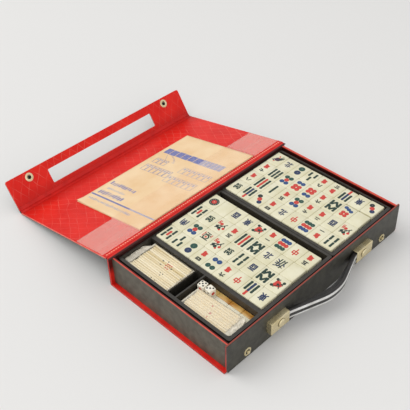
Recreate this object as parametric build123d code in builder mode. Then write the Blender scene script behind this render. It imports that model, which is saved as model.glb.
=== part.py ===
"""Mahjong carrying case, open, in millimetres.

The case lies flat and its handle points to -Y. X runs along the hinge, Y from the front
panel to the spine and Z up. The origin is the middle of the base, on the face that rests
on the table.
"""

import math
import os

from build123d import *

# ---------------------------------------------------------------- driving dimensions
# Case body
case_length = 300.0  # over the two end walls
case_depth = 190.0  # front face to back face
case_height = 44.0  # top of the end walls
cover_overhang = 5.0  # cover past each end wall
front_overhang = 3.0  # front panel past each end wall
skin = 0.6  # outer leatherette
lining = 0.6  # red vinyl
board = 2.0  # board in the base, spine and lid
front_board_thickness = 0.9
wall_board_thickness = 1.3
front_corner = 5.0  # radius of the front panel's lower corners
base_corner = 2.5  # radius of the base's front corners, seen from above
back_wall = 2.1  # lined board inside the spine
fold_radius = 1.6  # outside radius of the skin where it turns up
strip_width = 5.4  # stitched strip over the spine's top
strip_thickness = 0.5
strip_setback = 0.2  # strip short of the spine's back face
strip_inset = 0.4  # strip short of the cover's end

# Lid and closing flap
lid_gap = 0.8  # between the closed lid and the end walls
lid_slope = 12.5  # degrees below level, open
flap_slope = 57.0  # degrees above level, standing
flap_height = 44.0  # fold to free edge
flap_board_thickness = 1.4
flap_standoff = 1.5  # between the closed flap and the front panel
flap_corner = 3.0
hinge_setback = 0.2  # hinge axis behind the spine
hinge_lining_gap = 0.4  # from the hinge axis to the lid's lining
board_gap = 1.5  # from a fold's axis to the boards beside it
piping_radius = 1.0
piping_inset = 1.0  # piping short of the cover's end
piping_gap = 0.3
slot_length = 186.0
slot_near = 12.2  # from the fold to the slot's near side
slot_far = 32.2
slot_corner = 1.5

# Pocket and booklet
pocket_depth = 62.0
pocket_film = 0.3
pocket_start = 6.2  # from the hinge axis
pocket_inset = 2.0  # pocket short of the cover's end
pocket_clearance = 0.25
booklet_width = 202.0
booklet_height = 133.0
booklet_thickness = 1.6
booklet_offset = 4.0  # its middle, from the case's middle
booklet_start = 8.0  # from the hinge axis
booklet_lift = 0.1

# Snap fasteners
snap_x = 121.5
snap_from_fold = 35.2
stud_flange_radius = 5.4
stud_flange = 0.6
stud_radius = 1.9
stud_length = 2.8
stud_tip = 0.5  # rounding of the stud's end
stud_shank_radius = 1.6
socket_radius = 5.8
socket_bore = 2.3
socket_barrel = 3.0
socket_flange = 0.6
cap_radius = 6.2
cap_height = 1.2
cap_rounding = 0.9
washer_radius = 5.0
washer_thickness = 0.5
hole_clearance = 0.1

# Handle
bracket_inner_x = 61.0
bracket_length = 30.0
bracket_low = 13.6
bracket_height = 17.0
bracket_depth = 6.8
bracket_wall = 0.8
bracket_corner = 1.2
bracket_rounding = 0.6
strap_height = 13.0
strap_thickness = 5.0
strap_rounding = 1.2
strap_stand_off = 0.3  # strap's ends in front of the panel
strap_end_gap = 0.4  # strap short of the bracket's closed end
strap_turn = 1.0  # from the bracket's mouth to where the strap turns outwards
strap_bow = 21.5  # how far the bow's corner stands in front of the strap's ends
strap_apex_x = 3.0
strap_pad = 7.5  # from the strap's middle to its padded inner face, at the bow's corner
strap_bend = 62.0
strap_mouth_bend = 30.0
upper_trim_height = 3.6
lower_trim_height = 1.8
trim_thickness = 0.5
trim_edge = 1.3  # from a trim strip to the strap's edge
trim_mouth_gap = 0.3
rivet_x = 74.5
rivet_head_radius = 5.2
rivet_head_height = 1.6
rivet_head_edge = 0.3  # straight part of the head's side
rivet_shank_radius = 1.8
rivet_tail_radius = 3.0
rivet_tail = 0.4
back_plate_length = 24.0
back_plate_height = 12.0
back_plate_corner = 1.5
back_plate_thickness = 0.8

# Tiles
tile_length = 25.8
tile_width = 18.65
tile_thickness = 18.4
tile_back = 6.6  # amber share of the thickness
tile_edge = 0.9
tile_column_gap = 0.15
tile_row_gap = 0.02  # least gap between rows
left_block_gap = 0.2  # first column to the well's wall
right_block_gap = 0.3
# Each column has settled by itself: front row to the well's wall, and back row to it.
left_row_gaps = [(1.3, 1.6), (2.0, 0.3), (2.4, 0.3), (1.6, 0.4)]
right_row_gaps = [(1.9, 0.3), (1.4, 0.4), (2.2, 0.3), (1.7, 0.3)]
strays = {0: 0.4, 1: 0.3}  # rows whose last tile has slipped in the right tray, by this share of the room

# Trays
tray_lift = 0.3  # tray above the lining
tray_floor = 1.2
tray_skin = 1.0  # plastic left over the hollow under a rim
tray_rim_drop = 4.2  # rim below the end walls' top
tray_corner = 2.5
well_corner = 0.6
tray_left_gap = 4.5  # left tray to the left wall
tray_right_gap = 2.6
tray_between = 0.7
tray_front_gap = 3.7
tray_back_gap = 0.6
left_tray_left_rim = 4.2
left_tray_right_rim = 3.6
right_tray_left_rim = 3.8
right_tray_right_rim = 2.7
tray_front_rim = 4.4
tray_back_rim = 2.6
tray_divider = 5.6
tray_partition = 2.0
compartment_width = 45.6
left_tile_well = 112.6
lower_compartment = 79.9  # along Y, the compartment beside the front
slot_compartment = 13.8  # along Y, the narrow one behind it
slot_partition = 1.2
slot_partition_drop = 4.4
shelf_height = 19.0  # raised floor under the sticks, above the tray's floor

# Sticks, bags, spare tiles and dice
stick_length = 65.0
stick_width = 3.0
stick_thickness = 2.4
stick_gap = 0.05
stick_layers = 5
back_stick_start = 0.4  # sticks behind the slot's partition
front_stick_start = 7.8  # sticks behind the compartment's front end
bag_film = 0.3
bag_gap = 0.15  # sticks to film
bag_tail = 7.0  # film past the sticks, at the back
bag_side_gap = 0.5  # front bag to the compartment's left side
spare_gap = 0.25
spare_front_gap = 0.3
spare_pitch_gap = 0.05
die_size = 9.8
die_edge = 1.4
die_lift = 0.1
die_places = [(-1.65, 7.6, 4.0), (-0.95, -3.3, -6.0)]  # x and y from the last spare tile, and the turn

# ---------------------------------------------------------------- worked out
front_y = -case_depth / 2
back_y = case_depth / 2
cover = skin + board + lining
front_panel = skin + front_board_thickness + lining
front_inside_y = front_y + front_panel
back_inside_y = back_y - cover
cover_x = case_length / 2 + cover_overhang
front_x = case_length / 2 + front_overhang
wall_outside_x = case_length / 2
wall_board_outside_x = wall_outside_x - skin
wall_board_inside_x = wall_board_outside_x - wall_board_thickness
wall_inside_x = wall_board_inside_x - lining
floor_z = cover
board_top_z = case_height - lining

hinge_y = back_y + hinge_setback
hinge_z = case_height + lid_gap
lid_length = hinge_y - front_y + flap_standoff
flap_cover = skin + flap_board_thickness + lining
slope = math.radians(lid_slope)
rise = math.radians(flap_slope)
fold_y = hinge_y + lid_length * math.cos(slope)
fold_z = hinge_z - lid_length * math.sin(slope)
snap_z = hinge_z - snap_from_fold

tray_bottom = floor_z + tray_lift
tray_top = case_height - tray_rim_drop
tray_floor_z = tray_bottom + tray_floor
shelf_z = tray_floor_z + shelf_height
tray_y0 = front_inside_y + tray_front_gap
tray_y1 = back_inside_y - back_wall - tray_back_gap
well_y0 = tray_y0 + tray_front_rim
well_y1 = tray_y1 - tray_back_rim
left_tray_x0 = tray_left_gap - wall_inside_x
compartment_x0 = left_tray_x0 + left_tray_left_rim
compartment_x1 = compartment_x0 + compartment_width
left_well_x0 = compartment_x1 + tray_divider
left_well_x1 = left_well_x0 + left_tile_well
left_tray_x1 = left_well_x1 + left_tray_right_rim
right_tray_x0 = left_tray_x1 + tray_between
right_tray_x1 = wall_inside_x - tray_right_gap
right_well_x0 = right_tray_x0 + right_tray_left_rim
right_well_x1 = right_tray_x1 - right_tray_right_rim
lower_y1 = well_y0 + lower_compartment
slot_y0 = lower_y1 + tray_partition
slot_y1 = slot_y0 + slot_compartment
stick_y0 = slot_y1 + slot_partition
spare_x0 = compartment_x1 - spare_gap - tile_thickness
trough_x0 = spare_x0 - spare_gap
slot_partition_z = tray_top - slot_partition_drop
stick_pitch = stick_width + stick_gap
layer_pitch = stick_thickness + stick_gap

# Local axes of both planes: x along the hinge, y away from the fold's axis, z out of the red side.
lid_plane = Plane(origin=(0, hinge_y, hinge_z), x_dir=(1, 0, 0), z_dir=(0, math.sin(slope), math.cos(slope)))
flap_plane = Plane(origin=(0, fold_y, fold_z), x_dir=(1, 0, 0), z_dir=(0, -math.sin(rise), math.cos(rise)))
# Looks at the front panel: x to the right, y up, z towards the viewer.
front_plane = Plane(origin=(0, front_y, 0), x_dir=(1, 0, 0), z_dir=(0, -1, 0))

os.makedirs("parts", exist_ok=True)


def save(piece, name):
    """Labels a finished piece and writes its STEP file."""
    piece.label = name
    export_step(piece, f"parts/{name}.step")


def middle_size(low, high):
    """Middle and length of a stretch."""
    return (low + high) / 2, high - low


def area(x0, x1, y0, y1):
    """A rectangle between two corners, in the sketch that is open."""
    with Locations(((x0 + x1) / 2, (y0 + y1) / 2)):
        Rectangle(x1 - x0, y1 - y0)


# ---------------------------------------------------------------- case: wrapped cover
# What is trimmed off the front of the cover: its front panel is narrower and has rounded lower corners.
with BuildPart() as front_trim:
    with BuildSketch(front_plane):
        area(-cover_x - 1, cover_x + 1, -1, case_height + 1)
        with Locations((0, case_height / 2 + front_corner)):
            RectangleRounded(2 * front_x, case_height + 2 * front_corner, front_corner, mode=Mode.SUBTRACT)
    extrude(amount=-front_panel)

# Holes for the handle's rivets and the snap studs.
with BuildPart() as front_holes:
    with BuildSketch(front_plane):
        with Locations(*[(side * rivet_x, bracket_low + bracket_height / 2) for side in (-1, 1)]):
            Circle(rivet_shank_radius + hole_clearance)
        with Locations(*[(side * snap_x, snap_z) for side in (-1, 1)]):
            Circle(stud_shank_radius + hole_clearance)
    extrude(amount=-front_panel)

with BuildPart() as outer_skin:
    with BuildSketch(Plane.YZ) as skin_section:
        area(front_y, back_y, 0, case_height)
        fillet(skin_section.vertices().group_by(Axis.Z)[0], fold_radius)
        with Locations((0, skin + case_height / 2)):
            Rectangle(case_depth - 2 * skin, case_height, mode=Mode.SUBTRACT)
    extrude(amount=cover_x, both=True)
    add(front_trim.part, mode=Mode.SUBTRACT)
    add(front_holes.part, mode=Mode.SUBTRACT)
save(outer_skin.part, "outer_skin")

with BuildPart() as base_board:
    with BuildSketch(Plane.XY.offset(skin)) as base_outline:
        area(-cover_x, cover_x, front_y + skin, back_y - skin)
        fillet(base_outline.vertices().group_by(Axis.Y)[0], base_corner)
    extrude(amount=board)
    add(front_trim.part, mode=Mode.SUBTRACT)
save(base_board.part, "base_board")

with BuildPart() as front_board:
    with BuildSketch(front_plane.offset(-skin)):
        area(-front_x, front_x, skin + board, board_top_z)
    extrude(amount=-front_board_thickness)
    add(front_trim.part, mode=Mode.SUBTRACT)
    add(front_holes.part, mode=Mode.SUBTRACT)
save(front_board.part, "front_board")

with BuildPart() as spine_board:
    with BuildSketch(Plane.YZ):
        area(back_y - skin - board, back_y - skin, skin + board, board_top_z)
    extrude(amount=cover_x, both=True)
save(spine_board.part, "spine_board")

with BuildPart() as cover_lining:
    with BuildSketch(Plane.YZ):
        area(front_y + skin, back_y - skin, skin + board, case_height)
        inside_y, inside_length = middle_size(front_inside_y, back_inside_y)
        with Locations((inside_y, floor_z + case_height / 2)):
            Rectangle(inside_length, case_height, mode=Mode.SUBTRACT)
        # Room for the two boards that the lining turns over.
        for low, high in ((front_y + skin, front_inside_y - lining), (back_inside_y + lining, back_y - skin)):
            place, width = middle_size(low, high)
            with Locations((place, (skin + board + board_top_z) / 2)):
                Rectangle(width, board_top_z - skin - board, mode=Mode.SUBTRACT)
    extrude(amount=cover_x, both=True)
    add(front_trim.part, mode=Mode.SUBTRACT)
    add(front_holes.part, mode=Mode.SUBTRACT)
save(cover_lining.part, "cover_lining")

with BuildPart() as back_wall_board:
    with BuildSketch(Plane.XY.offset(floor_z)):
        area(-wall_inside_x, wall_inside_x, back_inside_y - back_wall, back_inside_y)
    extrude(amount=case_height - floor_z)
save(back_wall_board.part, "back_wall")

with BuildPart() as hinge_strip:
    with BuildSketch(Plane.XY.offset(case_height)):
        strip_y = back_y - strip_setback
        area(strip_inset - cover_x, cover_x - strip_inset, strip_y - strip_width, strip_y)
    extrude(amount=strip_thickness)
save(hinge_strip.part, "hinge_strip")

# ---------------------------------------------------------------- case: end walls
for side, side_name in ((-1, "left"), (1, "right")):
    with BuildPart() as wall_board:
        with BuildSketch(Plane.XY.offset(floor_z)):
            across = sorted((side * wall_board_inside_x, side * wall_board_outside_x))
            area(*across, front_inside_y, back_inside_y)
        extrude(amount=board_top_z - floor_z)
    save(wall_board.part, f"{side_name}_wall_board")

    with BuildPart() as wall_skin:
        with BuildSketch(Plane.XY.offset(floor_z)):
            across = sorted((side * wall_board_outside_x, side * wall_outside_x))
            area(*across, front_inside_y, back_inside_y)
        extrude(amount=board_top_z - floor_z)
    save(wall_skin.part, f"{side_name}_wall_skin")

    with BuildPart() as wall_lining:
        with BuildSketch(Plane.XZ.offset(-back_inside_y)):
            across = sorted((side * wall_inside_x, side * wall_outside_x))
            area(*across, board_top_z, case_height)
            across = sorted((side * wall_inside_x, side * wall_board_inside_x))
            area(*across, floor_z, case_height)
        extrude(amount=back_inside_y - front_inside_y)
    save(wall_lining.part, f"{side_name}_wall_lining")

# ---------------------------------------------------------------- case: snap studs
with BuildPart() as snap_studs:
    with BuildSketch(front_plane):
        with Locations((-snap_x, snap_z), (snap_x, snap_z)):
            Circle(stud_flange_radius)
    extrude(amount=stud_flange)
    with BuildSketch(front_plane):
        with Locations((-snap_x, snap_z), (snap_x, snap_z)):
            Circle(stud_radius)
    extrude(amount=stud_length)
    fillet(snap_studs.edges().group_by(Axis.Y)[0], stud_tip)
    with BuildSketch(front_plane):
        with Locations((-snap_x, snap_z), (snap_x, snap_z)):
            Circle(stud_shank_radius)
    extrude(amount=-front_panel - washer_thickness)
save(snap_studs.part, "snap_studs")

with BuildPart() as stud_washers:
    with BuildSketch(front_plane.offset(-front_panel)):
        with Locations((-snap_x, snap_z), (snap_x, snap_z)):
            Circle(washer_radius)
            Circle(stud_shank_radius + hole_clearance, mode=Mode.SUBTRACT)
    extrude(amount=-washer_thickness)
save(stud_washers.part, "stud_washers")

# ---------------------------------------------------------------- handle
bracket_middle_z = bracket_low + bracket_height / 2
for side, side_name in ((-1, "left"), (1, "right")):
    outer_x = bracket_inner_x + bracket_length
    with BuildPart() as bracket:
        with BuildSketch(front_plane):
            with Locations((side * (bracket_inner_x + outer_x) / 2, bracket_middle_z)):
                RectangleRounded(bracket_length, bracket_height, bracket_corner)
        extrude(amount=bracket_depth)
        fillet(bracket.edges().group_by(Axis.Y)[0], bracket_rounding)
        # Hollow, open to the panel and to the strap.
        hollow_x = sorted((side * (bracket_inner_x - 1), side * (outer_x - bracket_wall)))
        hollow_low = bracket_low + bracket_wall
        with BuildSketch(front_plane):
            area(*hollow_x, hollow_low, bracket_low + bracket_height - bracket_wall)
        extrude(amount=bracket_depth - bracket_wall, mode=Mode.SUBTRACT)
        with BuildSketch(front_plane):
            with Locations((side * rivet_x, bracket_middle_z)):
                Circle(rivet_shank_radius + hole_clearance)
        extrude(amount=bracket_depth, mode=Mode.SUBTRACT)
    save(bracket.part, f"{side_name}_handle_bracket")

strap_end_x = bracket_inner_x + bracket_length - bracket_wall - strap_end_gap
strap_mouth_x = bracket_inner_x - strap_turn
strap_end_y = front_y - strap_stand_off - strap_thickness / 2
with BuildLine(Plane.XY.offset(bracket_middle_z)) as bow:
    FilletPolyline(
        (-strap_end_x, strap_end_y),
        (-strap_mouth_x, strap_end_y),
        (strap_apex_x, strap_end_y - strap_bow),
        (strap_mouth_x, strap_end_y),
        (strap_end_x, strap_end_y),
        radius=[strap_mouth_bend, strap_bend, strap_mouth_bend],
    )
# Section of the strap: x through its thickness, towards the case, and y up.
strap_plane = Plane(origin=bow.line @ 0, x_dir=(0, 1, 0), z_dir=(1, 0, 0))

with BuildPart() as handle_strap:
    with BuildSketch(strap_plane):
        RectangleRounded(strap_thickness, strap_height, strap_rounding)
    sweep(path=bow.line)
    # The bow is padded on its inner side, between the brackets.
    pad_height = strap_height - 2 * strap_rounding
    with BuildSketch(Plane.XY.offset(bracket_middle_z - pad_height / 2)):
        with BuildLine():
            for bow_depth in (strap_bow, strap_bow - strap_pad):
                FilletPolyline(
                    (-strap_mouth_x, strap_end_y),
                    (strap_apex_x, strap_end_y - bow_depth),
                    (strap_mouth_x, strap_end_y),
                    radius=strap_bend,
                )
        make_face()
    extrude(amount=pad_height)
    with BuildSketch(front_plane):
        with Locations((-rivet_x, bracket_middle_z), (rivet_x, bracket_middle_z)):
            Circle(rivet_shank_radius + hole_clearance)
    extrude(amount=bracket_depth, mode=Mode.SUBTRACT)
save(handle_strap.part, "handle_strap")

# Bright strips on the strap's outer face, from bracket to bracket.
trim_x = bracket_inner_x - trim_mouth_gap
trim_stretches = (
    ("upper_handle_trim", strap_height / 2 - trim_edge - upper_trim_height, upper_trim_height),
    ("lower_handle_trim", trim_edge - strap_height / 2, lower_trim_height),
)
for name, low, height in trim_stretches:
    with BuildPart() as trim:
        with BuildSketch(strap_plane):
            area(-strap_thickness / 2 - trim_thickness, -strap_thickness / 2, low, low + height)
        sweep(path=bow.line)
        with BuildSketch(front_plane):
            area(-trim_x, trim_x, 0, case_height)
        extrude(amount=strap_bow + strap_thickness + bracket_depth, mode=Mode.INTERSECT)
    save(trim.part, name)

with BuildPart() as handle_rivets:
    with BuildSketch(front_plane.offset(bracket_depth)):
        with Locations((-rivet_x, bracket_middle_z), (rivet_x, bracket_middle_z)):
            Circle(rivet_head_radius)
    extrude(amount=rivet_head_height)
    fillet(handle_rivets.edges().group_by(Axis.Y)[0], rivet_head_height - rivet_head_edge)
    tail_depth = front_panel + back_plate_thickness
    with BuildSketch(front_plane.offset(bracket_depth)):
        with Locations((-rivet_x, bracket_middle_z), (rivet_x, bracket_middle_z)):
            Circle(rivet_shank_radius)
    extrude(amount=-bracket_depth - tail_depth)
    with BuildSketch(front_plane.offset(-tail_depth)):
        with Locations((-rivet_x, bracket_middle_z), (rivet_x, bracket_middle_z)):
            Circle(rivet_tail_radius)
    extrude(amount=-rivet_tail)
save(handle_rivets.part, "handle_rivets")

with BuildPart() as handle_back_plates:
    with BuildSketch(front_plane.offset(-front_panel)):
        with Locations((-rivet_x, bracket_middle_z), (rivet_x, bracket_middle_z)):
            RectangleRounded(back_plate_length, back_plate_height, back_plate_corner)
            Circle(rivet_shank_radius + hole_clearance, mode=Mode.SUBTRACT)
    extrude(amount=-back_plate_thickness)
save(handle_back_plates.part, "handle_back_plates")

# ---------------------------------------------------------------- lid
lid_far = lid_length - board_gap
with BuildPart() as lid_skin:
    with BuildSketch(lid_plane.offset(-cover)):
        area(-cover_x, cover_x, board_gap, lid_far)
    extrude(amount=skin)
save(lid_skin.part, "lid_skin")

with BuildPart() as lid_board:
    with BuildSketch(lid_plane.offset(-lining)):
        area(-cover_x, cover_x, board_gap, lid_far)
    extrude(amount=-board)
save(lid_board.part, "lid_board")

with BuildPart() as lid_lining:
    with BuildSketch(lid_plane):
        area(-cover_x, cover_x, hinge_lining_gap, lid_length - piping_radius - piping_gap)
    extrude(amount=-lining)
save(lid_lining.part, "lid_lining")

booklet_x0 = booklet_offset - booklet_width / 2
booklet_x1 = booklet_offset + booklet_width / 2
raised_x0 = booklet_x0 - pocket_clearance
raised_x1 = booklet_x1 + pocket_clearance
raised_y0 = booklet_start - pocket_clearance
raised_z = booklet_lift + booklet_thickness + pocket_clearance
with BuildPart() as lid_pocket:
    pocket_x = cover_x - pocket_inset
    with BuildSketch(lid_plane):
        area(-pocket_x, pocket_x, pocket_start, pocket_depth)
    extrude(amount=pocket_film)
    with BuildSketch(lid_plane):
        area(raised_x0 - pocket_film, raised_x1 + pocket_film, raised_y0 - pocket_film, pocket_depth)
    extrude(amount=raised_z + pocket_film)
    with BuildSketch(lid_plane):
        area(raised_x0, raised_x1, raised_y0, pocket_depth + 1)
    extrude(amount=raised_z, mode=Mode.SUBTRACT)
save(lid_pocket.part, "lid_pocket")

with BuildPart() as booklet:
    with BuildSketch(lid_plane.offset(booklet_lift)):
        area(booklet_x0, booklet_x1, booklet_start, booklet_start + booklet_height)
    extrude(amount=booklet_thickness)
save(booklet.part, "booklet")

# ---------------------------------------------------------------- closing flap
with BuildPart() as fold_piping:
    with BuildSketch(Plane.YZ):
        with Locations((fold_y, fold_z)):
            Circle(piping_radius)
    extrude(amount=cover_x - piping_inset, both=True)
save(fold_piping.part, "fold_piping")

flap_layers = (
    ("flap_lining", piping_radius + piping_gap, 0.0, lining),
    ("flap_board", board_gap, lining, flap_board_thickness),
    ("flap_skin", board_gap, lining + flap_board_thickness, skin),
)
for name, start, depth, thickness in flap_layers:
    with BuildPart() as flap_layer:
        with BuildSketch(flap_plane.offset(-depth)) as outline:
            area(-cover_x, cover_x, start, flap_height)
            far_corners = outline.vertices().sort_by(lambda v: flap_plane.to_local_coords(v.center()).Y)[-2:]
            fillet(far_corners, flap_corner)
            with Locations((0, (slot_near + slot_far) / 2)):
                RectangleRounded(slot_length, slot_far - slot_near, slot_corner, mode=Mode.SUBTRACT)
            with Locations((-snap_x, snap_from_fold), (snap_x, snap_from_fold)):
                Circle(socket_barrel + hole_clearance, mode=Mode.SUBTRACT)
        extrude(amount=-thickness)
    save(flap_layer.part, name)

with BuildPart() as snap_sockets:
    with BuildSketch(flap_plane):
        with Locations((-snap_x, snap_from_fold), (snap_x, snap_from_fold)):
            Circle(socket_radius)
            Circle(socket_bore, mode=Mode.SUBTRACT)
    extrude(amount=socket_flange)
    with BuildSketch(flap_plane):
        with Locations((-snap_x, snap_from_fold), (snap_x, snap_from_fold)):
            Circle(socket_barrel)
            Circle(socket_bore, mode=Mode.SUBTRACT)
    extrude(amount=-flap_cover)
save(snap_sockets.part, "snap_sockets")

with BuildPart() as socket_caps:
    with BuildSketch(flap_plane.offset(-flap_cover)):
        with Locations((-snap_x, snap_from_fold), (snap_x, snap_from_fold)):
            Circle(cap_radius)
    extrude(amount=-cap_height)
    outer_rims = socket_caps.edges().sort_by(lambda e: flap_plane.to_local_coords(e.center()).Z)[:2]
    fillet(outer_rims, cap_rounding)
save(socket_caps.part, "socket_caps")

# ---------------------------------------------------------------- trays
# Each well is x0, x1, y0, y1 and the height of its floor; each shelf is the hollow below a raised floor.
left_wells = (
    (left_well_x0, left_well_x1, well_y0, well_y1, tray_floor_z),
    (compartment_x0, compartment_x1, well_y0, lower_y1, shelf_z),
    (trough_x0, compartment_x1, well_y0, lower_y1, tray_floor_z),
    (compartment_x0, compartment_x1, slot_y0, slot_y1, tray_floor_z),
    (compartment_x0, compartment_x1, stick_y0, well_y1, shelf_z),
)
left_shelves = (
    (compartment_x0, trough_x0 - tray_skin, well_y0, lower_y1),
    (compartment_x0, compartment_x1, stick_y0, well_y1),
)
right_wells = ((right_well_x0, right_well_x1, well_y0, well_y1, tray_floor_z),)
# The partition behind the narrow compartment is lower than the rim.
left_notches = ((compartment_x0, compartment_x1, slot_y1 - well_corner, stick_y0 + well_corner),)
for name, x0, x1, wells, shelves, notches in (
    ("left_tray", left_tray_x0, left_tray_x1, left_wells, left_shelves, left_notches),
    ("right_tray", right_tray_x0, right_tray_x1, right_wells, (), ()),
):
    with BuildPart() as tray:
        with BuildSketch(Plane.XY.offset(tray_bottom)) as rim:
            area(x0, x1, tray_y0, tray_y1)
            fillet(rim.vertices(), tray_corner)
        extrude(amount=tray_top - tray_bottom)
        for wx0, wx1, wy0, wy1, well_floor in wells:
            with BuildSketch(Plane.XY.offset(well_floor)) as well:
                area(wx0, wx1, wy0, wy1)
                fillet(well.vertices(), well_corner)
            extrude(amount=tray_top - well_floor, mode=Mode.SUBTRACT)
        # Hollow below the rims and dividers.
        with BuildSketch(Plane.XY.offset(tray_bottom)):
            area(x0 + tray_skin, x1 - tray_skin, tray_y0 + tray_skin, tray_y1 - tray_skin)
            for wx0, wx1, wy0, wy1, well_floor in wells:
                with Locations(((wx0 + wx1) / 2, (wy0 + wy1) / 2)):
                    Rectangle(wx1 - wx0 + 2 * tray_skin, wy1 - wy0 + 2 * tray_skin, mode=Mode.SUBTRACT)
        extrude(amount=tray_top - tray_skin - tray_bottom, mode=Mode.SUBTRACT)
        for sx0, sx1, sy0, sy1 in shelves:
            with BuildSketch(Plane.XY.offset(tray_bottom)):
                area(sx0, sx1, sy0, sy1)
            extrude(amount=shelf_z - tray_floor - tray_bottom, mode=Mode.SUBTRACT)
        for notch in notches:
            with BuildSketch(Plane.XY.offset(slot_partition_z)):
                area(*notch)
            extrude(amount=tray_top - slot_partition_z, mode=Mode.SUBTRACT)
    save(tray.part, name)


# ---------------------------------------------------------------- tiles in the trays
def tile_centres(side_name):
    """Middle of every tile in a tray's block, seen from above. A well holds as many as fit."""
    if side_name == "left":
        block_x0, block_x1, row_gaps = left_well_x0 + left_block_gap, left_well_x1, left_row_gaps
    else:
        block_x0, block_x1, row_gaps = right_well_x0 + right_block_gap, right_well_x1, right_row_gaps
    column_pitch = tile_length + tile_column_gap
    columns = int((block_x1 - block_x0 + tile_column_gap) / column_pitch)
    room = block_x1 - block_x0 + tile_column_gap - columns * column_pitch
    centres = []
    for column in range(columns):
        front_gap, back_gap = row_gaps[column % len(row_gaps)]
        row_y0 = well_y0 + front_gap
        row_y1 = well_y1 - back_gap
        rows = int((row_y1 - row_y0) / (tile_width + tile_row_gap))
        pitch = (row_y1 - row_y0) / rows
        for row in range(rows):
            slips = side_name == "right" and column == columns - 1
            slip = room * strays.get(row, 0.0) if slips else 0.0
            x = block_x0 + column * column_pitch + tile_length / 2 + slip
            centres.append((x, row_y0 + (row + 0.5) * pitch))
    return centres


# Each layer is its name, low face and thickness; only the tops that show have rounded edges.
tile_layers = (
    ("lower_tile_backs", 0.0, tile_back, False),
    ("lower_tile_faces", tile_back, tile_thickness - tile_back, False),
    ("upper_tile_backs", tile_thickness, tile_back, False),
    ("upper_tile_faces", tile_thickness + tile_back, tile_thickness - tile_back, True),
)
for side_name in ("left", "right"):
    for name, low, height, shown in tile_layers:
        with BuildPart() as tiles:
            with BuildSketch(Plane.XY.offset(tray_floor_z + low)):
                with Locations(*tile_centres(side_name)):
                    Rectangle(tile_length, tile_width)
            extrude(amount=height)
            if shown:
                fillet(tiles.edges().group_by(Axis.Z)[-1], tile_edge)
        save(tiles.part, f"{side_name}_{name}")

# ---------------------------------------------------------------- spare tiles and dice
spare_pitch = tile_width + spare_pitch_gap
spare_tiles = int((lower_compartment - spare_front_gap) / spare_pitch)
spare_y0 = well_y0 + spare_front_gap + tile_width / 2
spare_centres = [spare_y0 + place * spare_pitch for place in range(spare_tiles)]
spare_split_x = spare_x0 + tile_thickness - tile_back
spare_middle_z = tray_floor_z + tile_length / 2
spare_top = tray_floor_z + tile_length
for name, plane_x, depth, outer in (
    ("spare_tile_faces", spare_split_x, spare_x0 - spare_split_x, 0),
    ("spare_tile_backs", spare_split_x, tile_back, -1),
):
    with BuildPart() as spares:
        with BuildSketch(Plane.YZ.offset(plane_x)):
            with Locations(*[(y, spare_middle_z) for y in spare_centres]):
                RectangleRounded(tile_width, tile_length, tile_edge)
        extrude(amount=depth)
        fillet(spares.edges().group_by(Axis.X)[outer], tile_edge * 0.9)
    save(spares.part, name)

with BuildPart() as dice:
    die_plane = Plane.XY.offset(spare_top + die_lift)
    for x, y, turn in die_places:
        with BuildSketch(die_plane):
            with Locations(Location((spare_x0 + tile_thickness / 2 + x, spare_centres[-1] + y), turn)):
                RectangleRounded(die_size, die_size, die_edge)
        extrude(amount=die_size)
    flat_edges = dice.edges().group_by(Axis.Z)
    fillet(flat_edges[0] + flat_edges[-1], die_edge * 0.9)
save(dice.part, "dice")


# ---------------------------------------------------------------- bags of counting sticks
def stack_steps(stack):
    """Outline of a stack of sticks seen from its end: each step is its width, low edge and high edge."""
    steps = []
    for count in sorted(set(stack)):
        layers = [layer for layer, across in enumerate(stack) if across == count]
        low = layers[0] * layer_pitch
        high = (layers[-1] + 1) * layer_pitch - stick_gap
        steps.append((count * stick_pitch - stick_gap, low, high))
    return steps


def sticks_and_bag(side_name, stack, x0, y0):
    """One bundle of sticks, and the open-ended film round it."""
    stick_z0 = shelf_z + bag_film + bag_gap
    with BuildPart() as sticks:
        with BuildSketch(Plane.XZ.offset(-y0)):
            for layer, across in enumerate(stack):
                z = stick_z0 + layer * layer_pitch + stick_thickness / 2
                with Locations(*[(x0 + (n + 0.5) * stick_pitch, z) for n in range(across)]):
                    Rectangle(stick_width, stick_thickness)
        extrude(amount=-stick_length)
    save(sticks.part, f"{side_name}_sticks")

    with BuildPart() as bag:
        with BuildSketch(Plane.XZ.offset(-y0)):
            for grow, mode in ((bag_gap + bag_film, Mode.ADD), (bag_gap, Mode.SUBTRACT)):
                for width, low, high in stack_steps(stack):
                    left = x0 + stick_gap / 2
                    with Locations((left + width / 2, stick_z0 + (low + high) / 2)):
                        Rectangle(width + 2 * grow, high - low + 2 * grow, mode=mode)
        extrude(amount=-stick_length - bag_tail)
    save(bag.part, f"{side_name}_stick_bag")


bag_wrap = bag_film + bag_gap
back_across = int((compartment_width - 2 * bag_wrap) / stick_pitch)
back_bundle_x = (compartment_x0 + compartment_x1 - back_across * stick_pitch) / 2
sticks_and_bag("back", [back_across] * stick_layers, back_bundle_x, stick_y0 + back_stick_start)
# The front bundle lies beside the spare tiles, and is one stick wider above them.
front_bundle_x = compartment_x0 + bag_side_gap + bag_wrap
beside = int((spare_x0 - bag_wrap - front_bundle_x) / stick_pitch)
over_spares = [shelf_z + layer * layer_pitch > spare_top for layer in range(stick_layers)]
front_stack = [beside + wider for wider in over_spares]
sticks_and_bag("front", front_stack, front_bundle_x, well_y0 + front_stick_start)
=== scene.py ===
# %% [markdown]
# # A mahjong case, open on a table
# The case is built like a book: a wrapped cover, two trays of tiles, a lid and a flap that snaps shut over
# the handle. The boards, trays, brackets and rivets come finished from CAD, and this file adds what a maker
# adds last: coverings, stitches, inked tiles, sticks in their film, the booklet and the light.

# %% Load the frame
import math
import random

import bmesh
import bpy
from mathutils import Matrix, Vector, noise


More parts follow.
